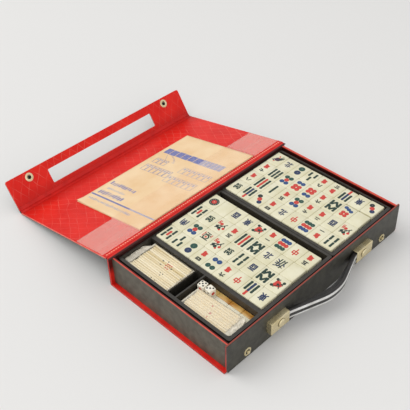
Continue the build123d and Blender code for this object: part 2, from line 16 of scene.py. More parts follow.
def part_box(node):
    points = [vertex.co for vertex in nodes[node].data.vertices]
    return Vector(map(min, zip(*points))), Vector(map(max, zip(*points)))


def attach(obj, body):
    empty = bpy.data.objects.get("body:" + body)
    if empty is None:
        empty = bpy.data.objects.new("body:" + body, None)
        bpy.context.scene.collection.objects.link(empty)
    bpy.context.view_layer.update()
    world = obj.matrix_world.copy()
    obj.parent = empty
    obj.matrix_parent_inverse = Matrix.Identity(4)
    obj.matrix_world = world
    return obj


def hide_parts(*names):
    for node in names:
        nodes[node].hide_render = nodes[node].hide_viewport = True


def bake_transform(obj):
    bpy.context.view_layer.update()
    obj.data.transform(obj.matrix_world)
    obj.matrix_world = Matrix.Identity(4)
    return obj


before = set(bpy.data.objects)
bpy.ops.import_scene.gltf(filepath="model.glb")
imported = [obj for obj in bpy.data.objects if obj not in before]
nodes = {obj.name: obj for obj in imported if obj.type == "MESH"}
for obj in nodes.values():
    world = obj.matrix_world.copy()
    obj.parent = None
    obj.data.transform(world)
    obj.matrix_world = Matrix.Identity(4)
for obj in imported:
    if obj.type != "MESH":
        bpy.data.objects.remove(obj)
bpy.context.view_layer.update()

# %% [markdown]
# Everything below is thought out in millimetres, as a maker measures, and turned into metres once. Two
# planes matter besides the table: the lid slopes down from its hinge by 12.5 degrees, and the flap stands
# at 57 degrees from the lid's far fold. A matrix for each takes flat coordinates, x along the hinge, y away
# from the fold and z out of the red side, to their place.

# %% Units and planes
MM = 0.001
SLOPE = math.radians(12.5)
RISE = math.radians(57.0)
HINGE_Y = 95.2
HINGE_Z = 44.8
LID_LENGTH = 191.7
FOLD_Y = HINGE_Y + LID_LENGTH * math.cos(SLOPE)
FOLD_Z = HINGE_Z - LID_LENGTH * math.sin(SLOPE)
COVER_STRIP = 309.0  # length of the strips along the hinge, just short of the cover's


def move(x, y, z):
    """A matrix that moves by millimetres."""
    return Matrix.Translation((x, y, z))


def rotate(degrees, axis="Z"):
    """A matrix that turns about an axis."""
    return Matrix.Rotation(math.radians(degrees), 4, axis)


TABLE = Matrix.Scale(MM, 4)
LID = TABLE @ move(0, HINGE_Y, HINGE_Z) @ Matrix.Rotation(-SLOPE, 4, "X")
FLAP = TABLE @ move(0, FOLD_Y, FOLD_Z) @ Matrix.Rotation(RISE, 4, "X")
print("fold at", round(FOLD_Y, 2), round(FOLD_Z, 2))

# %% [markdown]
# The camera looks down from the front left corner with a slightly long lens. Its place is worked out from
# the case's own corners, so the edges line up, and it is turned a little about its own axis.

# %% Camera
FOCAL_LENGTH = 752.8  # in pixels of a picture this wide:
PICTURE_WIDTH = 410
SENSOR = 36
eye = Vector((-497.8, -438.7, 649.0)) * MM
target = Vector((24.8, 116.7, 0.0)) * MM
roll = math.radians(-2.444)
ahead = (target - eye).normalized()
right = ahead.cross(Vector((0, 0, 1))).normalized()
up = right.cross(ahead)
right, up = math.cos(roll) * right + math.sin(roll) * up, math.cos(roll) * up - math.sin(roll) * right
camera_data = bpy.data.cameras.new("camera")
camera_data.lens = FOCAL_LENGTH / PICTURE_WIDTH * SENSOR
camera_data.sensor_width = SENSOR
camera_data.sensor_fit = "HORIZONTAL"
camera = bpy.data.objects.new("camera", camera_data)
camera.matrix_world = Matrix.Translation(eye) @ Matrix((right, up, -ahead)).transposed().to_4x4()
bpy.context.scene.collection.objects.link(camera)
bpy.context.scene.camera = camera
print("lens", round(camera_data.lens, 1), "mm")

# %% [markdown]
# A material is a small tree of nodes. One helper turns a maker's hex colour into the linear values that
# Blender calculates with, one adds any node with its settings and links and returns its output, and one
# links an output to the shader, so that each recipe below reads as a short list.

# %% Material helpers
def hex_colour(code):
    """Linear colour of an sRGB hex value."""
    parts = [int(code[i : i + 2], 16) / 255 for i in (1, 3, 5)]
    return [c / 12.92 if c <= 0.04045 else ((c + 0.055) / 1.055) ** 2.4 for c in parts] + [1.0]


def add_node(material, kind, inputs=None, output=0, **settings):
    """Adds a node. An input takes a value, another node's output, or "Object" for the object coordinates."""
    tree = material.node_tree
    node = tree.nodes.new("ShaderNode" + kind)
    for key, value in settings.items():
        setattr(node, key, value)
    for key, value in (inputs or {}).items():
        if value == "Object":
            value = tree.nodes["Texture Coordinate"].outputs["Object"]
        if isinstance(value, bpy.types.NodeSocket):
            tree.links.new(value, node.inputs[key])
        else:
            node.inputs[key].default_value = value
    return node.outputs[output]


def drive(material, socket, output):
    """Links an output to a socket of the material's shader."""
    tree = material.node_tree
    tree.links.new(output, tree.nodes["Principled BSDF"].inputs[socket])


print("an ivory:", [round(part, 3) for part in hex_colour("#DFDABA")])

# %% What the materials share
def start_material(name, colour, roughness, **sockets):
    """A named Principled material; its other sockets are given with underscores for spaces."""
    material = bpy.data.materials.new(name)
    material.use_nodes = True
    material.diffuse_color = hex_colour(colour)
    values = {"Base_Color": hex_colour(colour), "Roughness": roughness, **sockets}
    for key, value in values.items():
        material.node_tree.nodes["Principled BSDF"].inputs[key.replace("_", " ")].default_value = value
    add_node(material, "TexCoord")
    return material


def grain(size_mm):
    """The scale of a texture whose cells have a real size."""
    return 1 / (size_mm * MM)


def mottle(material, dark, light, grain_mm, low=0.35, high=0.65, detail=4.0, stretch=(1, 1, 1)):
    """Blends two shades by noise of a real size and returns the noise."""
    spread = add_node(material, "Mapping", {"Vector": "Object", "Scale": stretch})
    cloud = add_node(material, "TexNoise", {"Vector": spread, "Scale": grain(grain_mm), "Detail": detail})
    amount = add_node(material, "MapRange", {"Value": cloud, "From Min": low, "From Max": high})
    shades = {"Factor": amount, 6: hex_colour(dark), 7: hex_colour(light)}
    drive(material, "Base Color", add_node(material, "Mix", shades, output=2, data_type="RGBA"))
    return cloud


def blend_over(material, amount, colour):
    """Mixes a colour over what drives the material's base colour so far."""
    plain = material.node_tree.nodes["Principled BSDF"].inputs["Base Color"].links[0].from_socket
    shades = {"Factor": amount, 6: plain, 7: hex_colour(colour)}
    drive(material, "Base Color", add_node(material, "Mix", shades, output=2, data_type="RGBA"))


def emboss(material, height, depth_mm, strength=0.5):
    """Bump from a height pattern, its depth in millimetres."""
    bump = {"Height": height, "Distance": depth_mm * MM, "Strength": strength}
    drive(material, "Normal", add_node(material, "Bump", bump))


def finish_node(material, *names):
    """Gives CAD nodes a material."""
    for name in names:
        piece = nodes[name]
        piece.data.materials.clear()
        piece.data.materials.append(material)


print("nodes of CAD to finish:", len(nodes))

# %% [markdown]
# Red vinyl is PVC cast on cloth and embossed by a roller. Up close it has a fine pebble, and the large face
# inside the lid is welded in a wandering net of pale lines, about 13 mm to a cell. The lines are drawn by
# two crossed families of stripes, bent by slow noise, and pressed in by the bump. Shade is painted into
# the vinyl's colour towards its folds, on the walls' inner sides and over the gaps beside the trays, and a
# paler salmon on some top edges is a painted highlight.

# %% Red vinyl recipes
NET_CELL = 13.0
NET_WANDER = 22.22  # the lines bend over this length
WORN_PATCH = 18.18
PEBBLE = 0.9


def net_lines(material, along):
    """Mask of two crossed families of thin wavy lines; along is the direction away from the fold."""
    away = add_node(material, "VectorMath", {0: "Object", 1: along}, "Value", operation="DOT_PRODUCT")
    across = add_node(material, "SeparateXYZ", {0: "Object"})
    wander = add_node(material, "TexNoise", {"Vector": "Object", "Scale": grain(NET_WANDER), "Detail": 1.0})
    lines = []
    for lean in (0.62, -0.62):
        slant = add_node(material, "Math", {0: away, 1: lean, 2: across}, operation="MULTIPLY_ADD")
        count = add_node(material, "Math", {0: slant, 1: grain(NET_CELL)}, operation="MULTIPLY")
        bent = add_node(material, "Math", {0: wander, 1: 0.7, 2: count}, operation="MULTIPLY_ADD")
        wave = add_node(material, "Math", {0: bent, 1: 0.5}, operation="PINGPONG")
        lines.append(add_node(material, "MapRange", {"Value": wave, "From Min": 0.036, "From Max": 0.01}))
    return add_node(material, "Math", {0: lines[0], 1: lines[1]}, operation="MAXIMUM")


def quilted_vinyl(name, along):
    """Red vinyl with the welded net."""
    material = start_material(name, "#DC1F12", 0.42, Specular_IOR_Level=0.22)
    mottle(material, "#D5190D", "#E22518", 30.0)
    lines = net_lines(material, along)
    worn = add_node(material, "TexNoise", {"Vector": "Object", "Scale": grain(WORN_PATCH), "Detail": 3.0})
    ends = {"Value": worn, "From Min": 0.42, "From Max": 0.68, "To Min": 0.12, "To Max": 0.6}
    shown = add_node(material, "MapRange", ends)
    blend_over(material, add_node(material, "Math", {0: lines, 1: shown}, operation="MULTIPLY"), "#F08070")
    pebble = add_node(material, "TexVoronoi", {"Vector": "Object", "Scale": grain(PEBBLE)})
    bumps = add_node(material, "Math", {0: pebble, 1: 0.25}, operation="MULTIPLY")
    emboss(material, add_node(material, "Math", {0: bumps, 1: lines}, operation="SUBTRACT"), 0.25)
    return material


def plain_vinyl(name, dark, light, roughness):
    """Red vinyl with only its pebble."""
    material = start_material(name, light, roughness, Specular_IOR_Level=0.3)
    mottle(material, dark, light, 12.0)
    emboss(material, add_node(material, "TexVoronoi", {"Vector": "Object", "Scale": grain(PEBBLE)}), 0.12)
    return material


def shade_vinyl(material, axis, plain_mm, painted_mm, painted_colour):
    """Paints shade and light into a vinyl along an axis, from plain to the full painted colour."""
    across = add_node(material, "SeparateXYZ", {0: "Object"}, axis)
    ends = {"Value": across, "From Min": plain_mm * MM, "From Max": painted_mm * MM}
    blend_over(material, add_node(material, "MapRange", ends), painted_colour)


print("net cell", NET_CELL, "mm, pebble", PEBBLE, "mm")

# %% Vinyl on the nodes
# The lid and the flap are painted darker towards the fold between them: painted shade in the crease.
lid_vinyl = quilted_vinyl("red_vinyl_net_lid", (0, math.cos(SLOPE), -math.sin(SLOPE)))
shade_vinyl(lid_vinyl, "Y", 256.0, 281.0, "#BE170F")
flap_vinyl = quilted_vinyl("red_vinyl_net_flap", (0, math.cos(RISE), math.sin(RISE)))
shade_vinyl(flap_vinyl, "Y", 294.0, 283.0, "#BE170F")
finish_node(lid_vinyl, "lid_lining")
finish_node(flap_vinyl, "flap_lining")

# Each plain vinyl's name and look, where shade and highlights are painted on it, and the node that it covers.
# The walls' top edges are a paler salmon red than the rest of the vinyl: a painted highlight.
RIM_LOOK = ("#C9402F", "#DC5A48", 0.4)
COVER_LOOK = ("#CB1A10", "#DC281C", 0.4)
# The cover's lining turns dark maroon from 20 mm up, painted shade on its inner faces, and dull salmon above
# 43.4 mm, a painted highlight on its top edge.
COVER_PAINTED_LIGHT = [("Z", 20.0, 30.0, "#5E0E0C"), ("Z", 43.4, 43.7, "#8F4236")]
for name, look, painted, node in (
    # The left wall's top is painted dark maroon towards its inner side: painted shade by the gap.
    ("red_vinyl_left_rim", RIM_LOOK, [("X", -149.1, -148.5, "#4A0C0A")], "left_wall_lining"),
    # The right wall's lining is painted almost black below 43 mm: painted shade on its inner face.
    ("red_vinyl_right_rim", RIM_LOOK, [("Z", 43.1, 42.5, "#300A08")], "right_wall_lining"),
    ("red_vinyl_cover", COVER_LOOK, COVER_PAINTED_LIGHT, "cover_lining"),
    # The hinge strip is painted almost black towards the inside of the case: painted shade over the gap.
    ("red_vinyl_hinge_strip", COVER_LOOK, [("Y", 93.2, 91.6, "#3A0C09")], "hinge_strip"),
    # The back wall's vinyl is a near-black red all over: painted shade.
    ("red_vinyl_shade", ("#2E0C0A", "#3A100D", 0.6), [], "back_wall"),
):
    vinyl = plain_vinyl(name, *look)
    for place in painted:
        shade_vinyl(vinyl, *place)
    finish_node(vinyl, node)
rim_vinyl = plain_vinyl("red_vinyl", *COVER_LOOK)
# The fold's vinyl is a deeper, darker red than the lid's: painted shade in the rolled fold.
fold_shade_vinyl = plain_vinyl("red_vinyl_fold_painted_shade", "#BE120A", "#CE1A11", 0.55)
finish_node(fold_shade_vinyl, "fold_piping")
print("vinyl on", sum("vinyl" in piece.data.materials[0].name for piece in nodes.values()), "nodes")

# %% [markdown]
# The outside is black leatherette: paper-backed vinyl rolled with a leather grain of about a millimetre. It
# isn't a true black; the roller's hills catch a warm grey light. The cover's boards show only at their
# edges, where the red vinyl is turned over them.

# %% Black leatherette and wrapped board
def roll_leatherette(name, dark, middle, light):
    """Black leatherette; the grain is the same on each panel, and only the colours differ."""
    material = start_material(name, middle, 0.5)
    mottle(material, dark, light, 8.0)
    hills = {"Vector": "Object", "Scale": grain(1.1)}
    emboss(material, add_node(material, "TexVoronoi", hills, feature="SMOOTH_F1"), 0.3, 0.45)
    return material


def turned_vinyl(name, colour, dark, light, **sockets):
    """Vinyl stretched over the edge of a board."""
    material = start_material(name, colour, 0.5, **sockets)
    mottle(material, dark, light, 9.0)
    emboss(material, add_node(material, "TexNoise", {"Vector": "Object", "Scale": grain(1.111)}), 0.1)
    return material


leatherette = roll_leatherette("black_leatherette", "#302E27", "#38362E", "#413F36")
# The walls' copy is a lighter grey than the rest of the skin: painted light on the case's sides.
lit_wall_leatherette = roll_leatherette("black_leatherette_walls_painted_lighter", "#484438", "#524E41", "#5B574A")
finish_node(leatherette, "outer_skin", "lid_skin", "flap_skin")
finish_node(lit_wall_leatherette, "left_wall_skin", "right_wall_skin")
dull = {"Specular_IOR_Level": 0.3}
board_edge = turned_vinyl("vinyl_turned_over_board", "#D42318", "#BE1C12", "#DE2E20", **dull)
finish_node(board_edge, "base_board", "spine_board", "left_wall_board", "right_wall_board")
# The lid's and flap's board edges are a pale salmon: a painted highlight along their edges.
lid_edge_highlight = turned_vinyl("vinyl_on_lid_board_painted_highlight", "#EE6F5E", "#E25C4C", "#F58472")
finish_node(lid_edge_highlight, "lid_board", "flap_board")
# The front board's edge is a dull salmon: a painted highlight along the top of the front wall.
front_edge_highlight = turned_vinyl("vinyl_on_front_board_painted_highlight", "#B8483C", "#9C2F27", "#C4584A", **dull)
finish_node(front_edge_highlight, "front_board")
print("leatherette and board done")

# %% [markdown]
# Metal parts are brass plated steel with a pale champagne lacquer, stamped and tumbled, so the shine is
# broken by fine scratches. The handle is soft black PVC with two metallised foil strips heat-pressed on its
# outside.

# %% Metal, handle and strips
brass = start_material("champagne_brass", "#DCCB9E", 0.3, Metallic=0.75)
worn = mottle(brass, "#D9C898", "#E6D8B0", 14.0, detail=1.0)
drive(brass, "Roughness", add_node(brass, "MapRange", {"Value": worn, "To Min": 0.2, "To Max": 0.34}))
metal = ("left_handle_bracket", "right_handle_bracket", "handle_rivets", "handle_back_plates", "snap_studs")
finish_node(brass, *metal, "stud_washers", "snap_sockets", "socket_caps")

handle_pvc = start_material("black_pvc_handle", "#1F1D1B", 0.3)
emboss(handle_pvc, mottle(handle_pvc, "#191816", "#2A2725", 6.0), 0.15, 0.3)
finish_node(handle_pvc, "handle_strap")

foil = start_material("metallised_foil", "#EEEDEA", 0.3, Metallic=0.6)
mottle(foil, "#DEDCD8", "#FAFAF8", 14.0, stretch=(1, 1, 0.2))
finish_node(foil, "upper_handle_trim", "lower_handle_trim")
print("metal on", len(metal) + 3, "nodes")

# %% [markdown]
# The trays are black high-impact styrene, drawn over a mould: satin, with a faint orange peel.

# %% Tray plastic
styrene = start_material("black_styrene", "#35322B", 0.36)
mottle(styrene, "#302D27", "#3B3730", 5.0)
emboss(styrene, add_node(styrene, "TexNoise", {"Vector": "Object", "Scale": grain(1.667)}), 0.08)
finish_node(styrene, "left_tray", "right_tray")
print("styrene on both trays")

# %% [markdown]
# Mahjong tiles of this kind are two casts of acrylic glued face to back: an ivory face and an amber back
# with streaks like horn. The faces are engraved and the marks filled with ink.

# %% Tile plastics and inks
ivory = start_material("ivory_acrylic", "#DFDABA", 0.28, Coat_Weight=0.2)
mottle(ivory, "#D9D3B0", "#E4DFC2", 16.0, detail=2.0)
# The spare tiles get a lighter copy of the ivory: painted light against the shade of the deep tray and the
# film.
lightened_ivory = start_material("ivory_acrylic_painted_lighter", "#EFE9CE", 0.28, Coat_Weight=0.2)
mottle(lightened_ivory, "#EAE3C4", "#F3EED8", 16.0, detail=2.0)
amber = start_material("amber_acrylic", "#C08A36", 0.25, Coat_Weight=0.3)
mottle(amber, "#B0741F", "#E3BE72", 11.0, stretch=(1, 0.6, 0.35), detail=1.0)
finish_node(ivory, *[name for name in nodes if "lower_tile_faces" in name])
finish_node(amber, *[name for name in nodes if "lower_tile_backs" in name])

INKS = {
    "r": "#C93A2E", "g": "#17352A", "n": "#1E3054", "k": "#1F2B28", "p": "#43283F", "c": "#DFDABA",
    "b": "#23477A", "t": "#1E4A3E",
}
INK_NUMBER = {letter: number for number, letter in enumerate(INKS)}
ink_materials = []
for letter, code in INKS.items():
    ink = start_material("engraver_ink_" + letter, code, 0.45)
    emboss(ink, add_node(ink, "TexNoise", {"Vector": "Object", "Scale": grain(0.667)}), 0.03)
    ink_materials.append(ink)
print(len(ink_materials), "inks")

# %% [markdown]
# New pieces all begin the same way: an empty bmesh is filled with shapes, made a mesh and linked. The place
# of every vertex is already in the row's frame, so the object itself stays at the origin.

# %% Piece helper
def add_piece(name, mesh_builder, materials, body, slot, smooth=True):
    """Turns a bmesh into a finished piece that rides on a body."""
    mesh = bpy.data.meshes.new(name)
    mesh_builder.to_mesh(mesh)
    mesh_builder.free()
    for material in materials:
        mesh.materials.append(material)
    for polygon in mesh.polygons:
        polygon.use_smooth = smooth
    piece = bpy.data.objects.new(name, mesh)
    bpy.context.scene.collection.objects.link(piece)
    if body:
        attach(piece, body)
    return piece


def thicken(piece, name, thickness_mm, offset=0):
    """Gives a sheet its thickness."""
    wall = piece.modifiers.new(name, "SOLIDIFY")
    wall.thickness = thickness_mm * MM
    wall.offset = offset


def paint(made, number):
    """Gives the faces of a shape just made one of its piece's materials."""
    for face in {face for vert in made["verts"] for face in vert.link_faces}:
        face.material_index = number


def slab(builder, matrix, number):
    """A flat slip of one material, as large as its matrix makes a unit cube."""
    paint(bmesh.ops.create_cube(builder, size=1.0, matrix=matrix), number)


def disc(builder, matrix, radius, depth, segments, number):
    """A thin round slip of one material."""
    size = {"segments": segments, "radius1": radius, "radius2": radius, "depth": depth}
    paint(bmesh.ops.create_cone(builder, cap_ends=True, matrix=matrix, **size), number)


def take_in(builder, shape):
    """Adds a finished shape to the bmesh of its piece."""
    scratch = bpy.data.meshes.new("scratch")
    shape.to_mesh(scratch)
    shape.free()
    builder.from_mesh(scratch)
    bpy.data.meshes.remove(scratch)


def rounded_block(builder, size, edge, matrix, segments=2):
    """A block with every edge rounded."""
    block = bmesh.new()
    bmesh.ops.create_cube(block, size=1.0)
    bmesh.ops.scale(block, vec=size, verts=block.verts)
    rounding = {"offset": edge, "segments": segments, "affect": "EDGES", "profile": 0.5, "material": -1}
    bmesh.ops.bevel(block, geom=block.edges[:], **rounding)
    bmesh.ops.transform(block, matrix=matrix, verts=block.verts)
    take_in(builder, block)


print("piece helpers ready")

# %% [markdown]
# A snap's face isn't flat: the sheet brass is rolled into a crowned ring, with a dark well in the socket
# and a round step about the stud, inside which a flat near-black ring is painted shade. Each is a short
# profile spun about the snap's own axis, laid on the flange that CAD made. Under each rivet head of the
# handle lies a near-black disc set a little off its middle, so that a dark crescent shows above the head:
# a painted shadow.

# %% Spun profiles
def spin_ring(builder, profile, matrix):
    """Spins a profile of (radius, height) points in millimetres about the local z axis."""
    ring = bmesh.new()
    corners = [ring.verts.new((radius, 0, height)) for radius, height in profile]
    edges = [ring.edges.new(pair) for pair in zip(corners, corners[1:])]
    round_z = {"axis": (0, 0, 1), "cent": (0, 0, 0), "angle": 2 * math.pi}
    bmesh.ops.spin(ring, geom=corners + edges, steps=40, use_merge=True, **round_z)
    bmesh.ops.recalc_face_normals(ring, faces=ring.faces)
    bmesh.ops.transform(ring, matrix=matrix, verts=ring.verts)
    take_in(builder, ring)


def middle_of(node):
    """The middle of a CAD node, in metres."""
    low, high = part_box(node)
    return (Vector(low) + Vector(high)) / 2


print("middle of the studs", [round(part / MM, 1) for part in middle_of("snap_studs")])

# %% Snap rings, with painted shadow at the studs and rivets
SNAP_X = 121.5
RIVET_X = 74.5
FRONT_Y = -95.0
SOCKET_RING = [(2.9, 0.5), (3.0, 0.7), (3.8, 0.74), (4.7, 0.72), (5.4, 0.64), (5.82, 0.4)]
SOCKET_WELL = [(2.95, 0.68), (2.5, 0.66), (2.26, 0.5), (2.25, -2.2), (0.02, -2.25)]
STUD_RING = [(3.1, 0.5), (3.3, 0.64), (3.7, 0.7), (4.2, 0.73), (4.9, 0.7), (5.3, 0.62), (5.45, 0.2)]
STUD_SHADOW_RING = [(1.85, 0.64), (2.2, 0.65), (2.7, 0.65), (3.15, 0.63)]
RIVET_SHADOW_DISC = [(4.6, 0.12), (5.0, 0.12), (5.4, 0.12), (5.46, 0.03)]
SHADOW_OFF_RIVET = (-0.42, 0.36)  # the painted shadow disc's middle from the rivet's, along x and z
# Bare steel inside a snap oxidises almost black, and has only a dull shine left. The same near black is
# painted shadow in the ring about each stud and in a crescent above each rivet.
dark_oxide_and_shadow = start_material("oxidised_steel_and_painted_shadow", "#15120E", 0.5, Metallic=0.3)
mottle(dark_oxide_and_shadow, "#0E0C09", "#241F18", 2.0)

socket_r = (FLAP.inverted() @ middle_of("snap_sockets")).y
stud_z = middle_of("snap_studs").z / MM
shadow_disc_z = middle_of("handle_rivets").z / MM + SHADOW_OFF_RIVET[1]
bracket_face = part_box("left_handle_bracket")[0][1] / MM
outwards = rotate(90, "X")
on_flap, on_front, on_brackets = [], [], []
for side in (-1, 1):
    on_flap.append(FLAP @ move(side * SNAP_X, socket_r, 0))
    on_front.append(TABLE @ move(side * SNAP_X, FRONT_Y, stud_z) @ outwards)
    on_brackets.append(TABLE @ move(side * RIVET_X + SHADOW_OFF_RIVET[0], bracket_face, shadow_disc_z) @ outwards)
for name, profile, spots, material, body in (
    ("socket_crowned_rings", SOCKET_RING, on_flap, brass, "flap"),
    ("socket_wells", SOCKET_WELL, on_flap, dark_oxide_and_shadow, "flap"),
    ("stud_rolled_rings", STUD_RING, on_front, brass, "case"),
    ("stud_grooves", STUD_SHADOW_RING, on_front, dark_oxide_and_shadow, "case"),
    ("rivet_seats", RIVET_SHADOW_DISC, on_brackets, dark_oxide_and_shadow, "case"),
):
    rings = bmesh.new()
    for spot in spots:
        spin_ring(rings, profile, spot)
    add_piece(name, rings, [material], body, "brass")
print("socket rings", round(socket_r, 2), "mm from the fold")

# %% [markdown]
# The upper tiles show, so each is made as two rounded blocks, laid with the tiny turns and lifts of tiles
# that were dropped in by hand. Their places follow the trays: nine rows by four columns, each column with
# its own gap to the front and back wall, and two tiles of the right tray slipped out of line.

# %% Places in the trays
TILE = (25.8, 18.65, 18.4)
TILE_BACK = 6.6
TRAY_FLOOR = 4.7
WELL_Y0 = -84.8
WELL_Y1 = 86.5
UPPER_LAYER = TRAY_FLOOR + TILE[2]
ROW_GAPS = {
    "left": [(1.3, 1.6), (2.0, 0.3), (2.4, 0.3), (1.6, 0.4)],
    "right": [(1.9, 0.3), (1.4, 0.4), (2.2, 0.3), (1.7, 0.3)],
}
COLUMN_PITCH = 25.95
BLOCK_X = {"left": -87.4, "right": 33.4}
SLIPPED = {(0, 3): 2.06, (1, 3): 1.545}  # tiles of the right tray out of line, by row and column
random.seed(7)


def tile_places(side):
    """Each tile's row from the hinge, column and matrix from its own middle to the row's frame."""
    for column in range(4):
        front_gap, back_gap = ROW_GAPS[side][column]
        y0 = WELL_Y0 + front_gap
        pitch = (WELL_Y1 - back_gap - y0) / 9
        for row in range(9):
            slip = SLIPPED.get((row, column), 0.0) if side == "right" else 0.0
            x = BLOCK_X[side] + column * COLUMN_PITCH + TILE[0] / 2 + slip
            y = y0 + (row + 0.5) * pitch
            turn = random.uniform(-0.25, 0.25)
            lift = random.uniform(0.0, 0.22)
            place = TABLE @ move(x, y, UPPER_LAYER + lift) @ rotate(turn)
            yield 8 - row, column, place


places = {side: list(tile_places(side)) for side in ("left", "right")}
print({side: len(spots) for side, spots in places.items()}, "places")

# %% Upper tiles
for side, spots in places.items():
    faces = bmesh.new()
    backs = bmesh.new()
    for row, column, place in spots:
        face_height = TILE[2] - TILE_BACK
        face_at = place @ move(0, 0, TILE_BACK + face_height / 2)
        back_at = place @ move(0, 0, TILE_BACK / 2)
        rounded_block(faces, (TILE[0], TILE[1], face_height), 0.9, face_at)
        rounded_block(backs, (TILE[0], TILE[1], TILE_BACK), 0.7, back_at)
    ivory_piece = add_piece(side + "_tile_faces", faces, [ivory], "tray_" + side, "tile_cream")
    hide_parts(side + "_upper_tile_faces")
    amber_piece = add_piece(side + "_tile_backs", backs, [amber], "tray_" + side, "tile_amber")
    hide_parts(side + "_upper_tile_backs")
print(sum(len(spots) for spots in places.values()), "tiles laid")

# %% [markdown]
# The marks are the traditional ones: circles, bamboo sticks, numbered characters, winds, dragons and
# flowers. Each is a few thin slips of ink, standing about 0.1 mm proud like paint that fills its
# engraving. A mark is written in the tile's own millimetres: a across the tile, b up the tile. The flowers
# and the bird are plain designs of dots and strokes.

# %% Strokes and dots
def stroke(a0, b0, a1, b1, width, ink):
    """A straight brush stroke."""
    return (a0, b0, a1, b1, width, ink)


def dot(a, b, radius, ink):
    """A filled circle."""
    return (a, b, radius, ink)


def ring(a, b, radius, ink):
    """A circle with a small pale eye, as engravers cut it."""
    return [dot(a, b, radius, ink), dot(a, b, 0.32 if radius > 3.6 else 0.2, "c")]


def bamboo(a, b, length, ink, lean=0.0):
    """A bamboo stick of two joints."""
    marks = []
    for end in (-1, 1):
        da = end * math.sin(lean) * length / 2
        db = end * math.cos(lean) * length / 2
        marks.append(stroke(a + 0.2 * da, b + 0.2 * db, a + 0.8 * da, b + 0.8 * db, 2.7, ink))
        marks.append(dot(a + 0.8 * da, b + 0.8 * db, 1.75, ink))
        marks.append(dot(a + 0.26 * da, b + 0.26 * db, 1.6, ink))
    return marks


def dots(ink, *spots):
    """Several filled circles of one ink."""
    return [dot(*spot, ink) for spot in spots]


def strokes(ink, width, *lines):
    """Several strokes of one ink."""
    return [stroke(*line, width, ink) for line in lines]


def shrunk(lines, rise=0.0):
    """The strokes of a character at nine tenths of their size, moved up the tile."""
    return [(0.9 * a0, 0.9 * b0 + rise, 0.9 * a1, 0.9 * b1 + rise) for a0, b0, a1, b1 in lines]


print("a bamboo stick has", len(bamboo(0, 0, 7.0, "g")), "marks")

# %% Circles, sticks and numbers
CIRCLES = {
    "2": (4.5, [(0, 4.8, "n"), (0, -4.8, "t")]),
    "3": (3.3, [(-3.3, 5.0, "n"), (0, 0, "r"), (3.3, -5.0, "k")]),
    "4": (3.4, [(-3.4, 6.0, "t"), (3.4, 6.0, "t"), (-3.4, -6.0, "b"), (3.4, -6.0, "b")]),
    "5": (3.3, [(-3.3, 5.5, "b"), (3.3, 5.5, "b"), (0, 0, "r"), (-3.3, -5.5, "t"), (3.3, -5.5, "t")]),
    "6": (3.2, [(s * 3.0, b, "b" if b > 4 else "r") for b in (7.0, -0.9, -6.1) for s in (-1, 1)]),
    "7": (
        2.7,
        [(-4.4, 8.4, "b"), (0, 6.8, "b"), (4.4, 5.2, "b")]
        + [(s * 2.6, b, "r") for b in (-1.0, -5.8) for s in (-1, 1)],
    ),
    "9": (3.0, [(a, b, "trb"[n]) for n, b in enumerate((6.4, 0, -6.4)) for a in (-4.4, 0, 4.4)]),
    "9b": (3.0, [(a, b, "brt"[n]) for n, b in enumerate((6.4, 0, -6.4)) for a in (-4.4, 0, 4.4)]),
}
STICKS = {
    "2": [(0, 4.3, 7.6, "g"), (0, -4.3, 7.6, "g")],
    "3": [(0, 4.6, 7.4, "g"), (-4.2, -4.6, 7.4, "g"), (4.2, -4.6, 7.4, "g")],
    "4": [(s * 3.7, b, 7.4, "g") for b in (4.9, -4.9) for s in (-1, 1)],
    "5": [(s * 4.6, b, 7.2, "g") for b in (4.9, -4.9) for s in (-1, 1)] + [(0, 0, 7.6, "r")],
    "6": [(a, b, 7.0, "g") for b in (4.5, -4.5) for a in (-5.0, 0, 5.0)],
    "7": [(0, 8.0, 6.0, "r")]
    + [(a, b, 6.4, "n" if a == 0 else "g") for b in (0.8, -6.2) for a in (-4.8, 0, 4.8)],
    "9": [(a, b, 6.8, "r" if a == 0 else "g") for b in (6.4, 0, -6.4) for a in (-5.0, 0, 5.0)],
}
NUMBERS = {
    "1": [(-3.4, 0, 3.4, 0)],
    "2": [(-2.2, 1.6, 2.2, 1.6), (-3.4, -1.6, 3.4, -1.6)],
    "3": [(-2.6, 2.4, 2.6, 2.4), (-2, 0, 2, 0), (-3.6, -2.4, 3.6, -2.4)],
    "4": [
        (-3.4, 2, 3.4, 2), (-3.4, 2, -3, -2), (3.4, 2, 3, -2), (-1, 2, -1.6, -1), (1, 2, 1.4, -1),
        (-3, -2, 3, -2),
    ],
    "5": [
        (-3, 2.6, 3, 2.6), (-0.4, 2.6, -1.4, -2.6), (-2.4, 0.2, 2.2, 0.2), (2.2, 0.2, 2, -2.6),
        (-3.6, -2.6, 3.6, -2.6),
    ],
    "6": [(0, 3.2, 0.6, 2), (-3.6, 1.2, 3.6, 1.2), (-1, 0.2, -2.8, -2.8), (1, 0.2, 3, -2.8)],
    "7": [(-3.4, 0.2, 3.2, 1.2), (-0.4, 2.8, -0.4, -2), (-0.4, -2, 3.2, -2.4)],
    "8": [(-1, 2, -3.4, -2.4), (0.8, 2.4, 3.6, -2.4)],
    "9": [(-2.6, 1.2, 2, 1.2), (-0.6, 3, -2.8, -2.8), (2, 1.2, 1.6, -2.2), (1.6, -2.2, 3.6, -2)],
}
print(len(CIRCLES), "circles,", len(STICKS), "rows of sticks,", len(NUMBERS), "numbers")

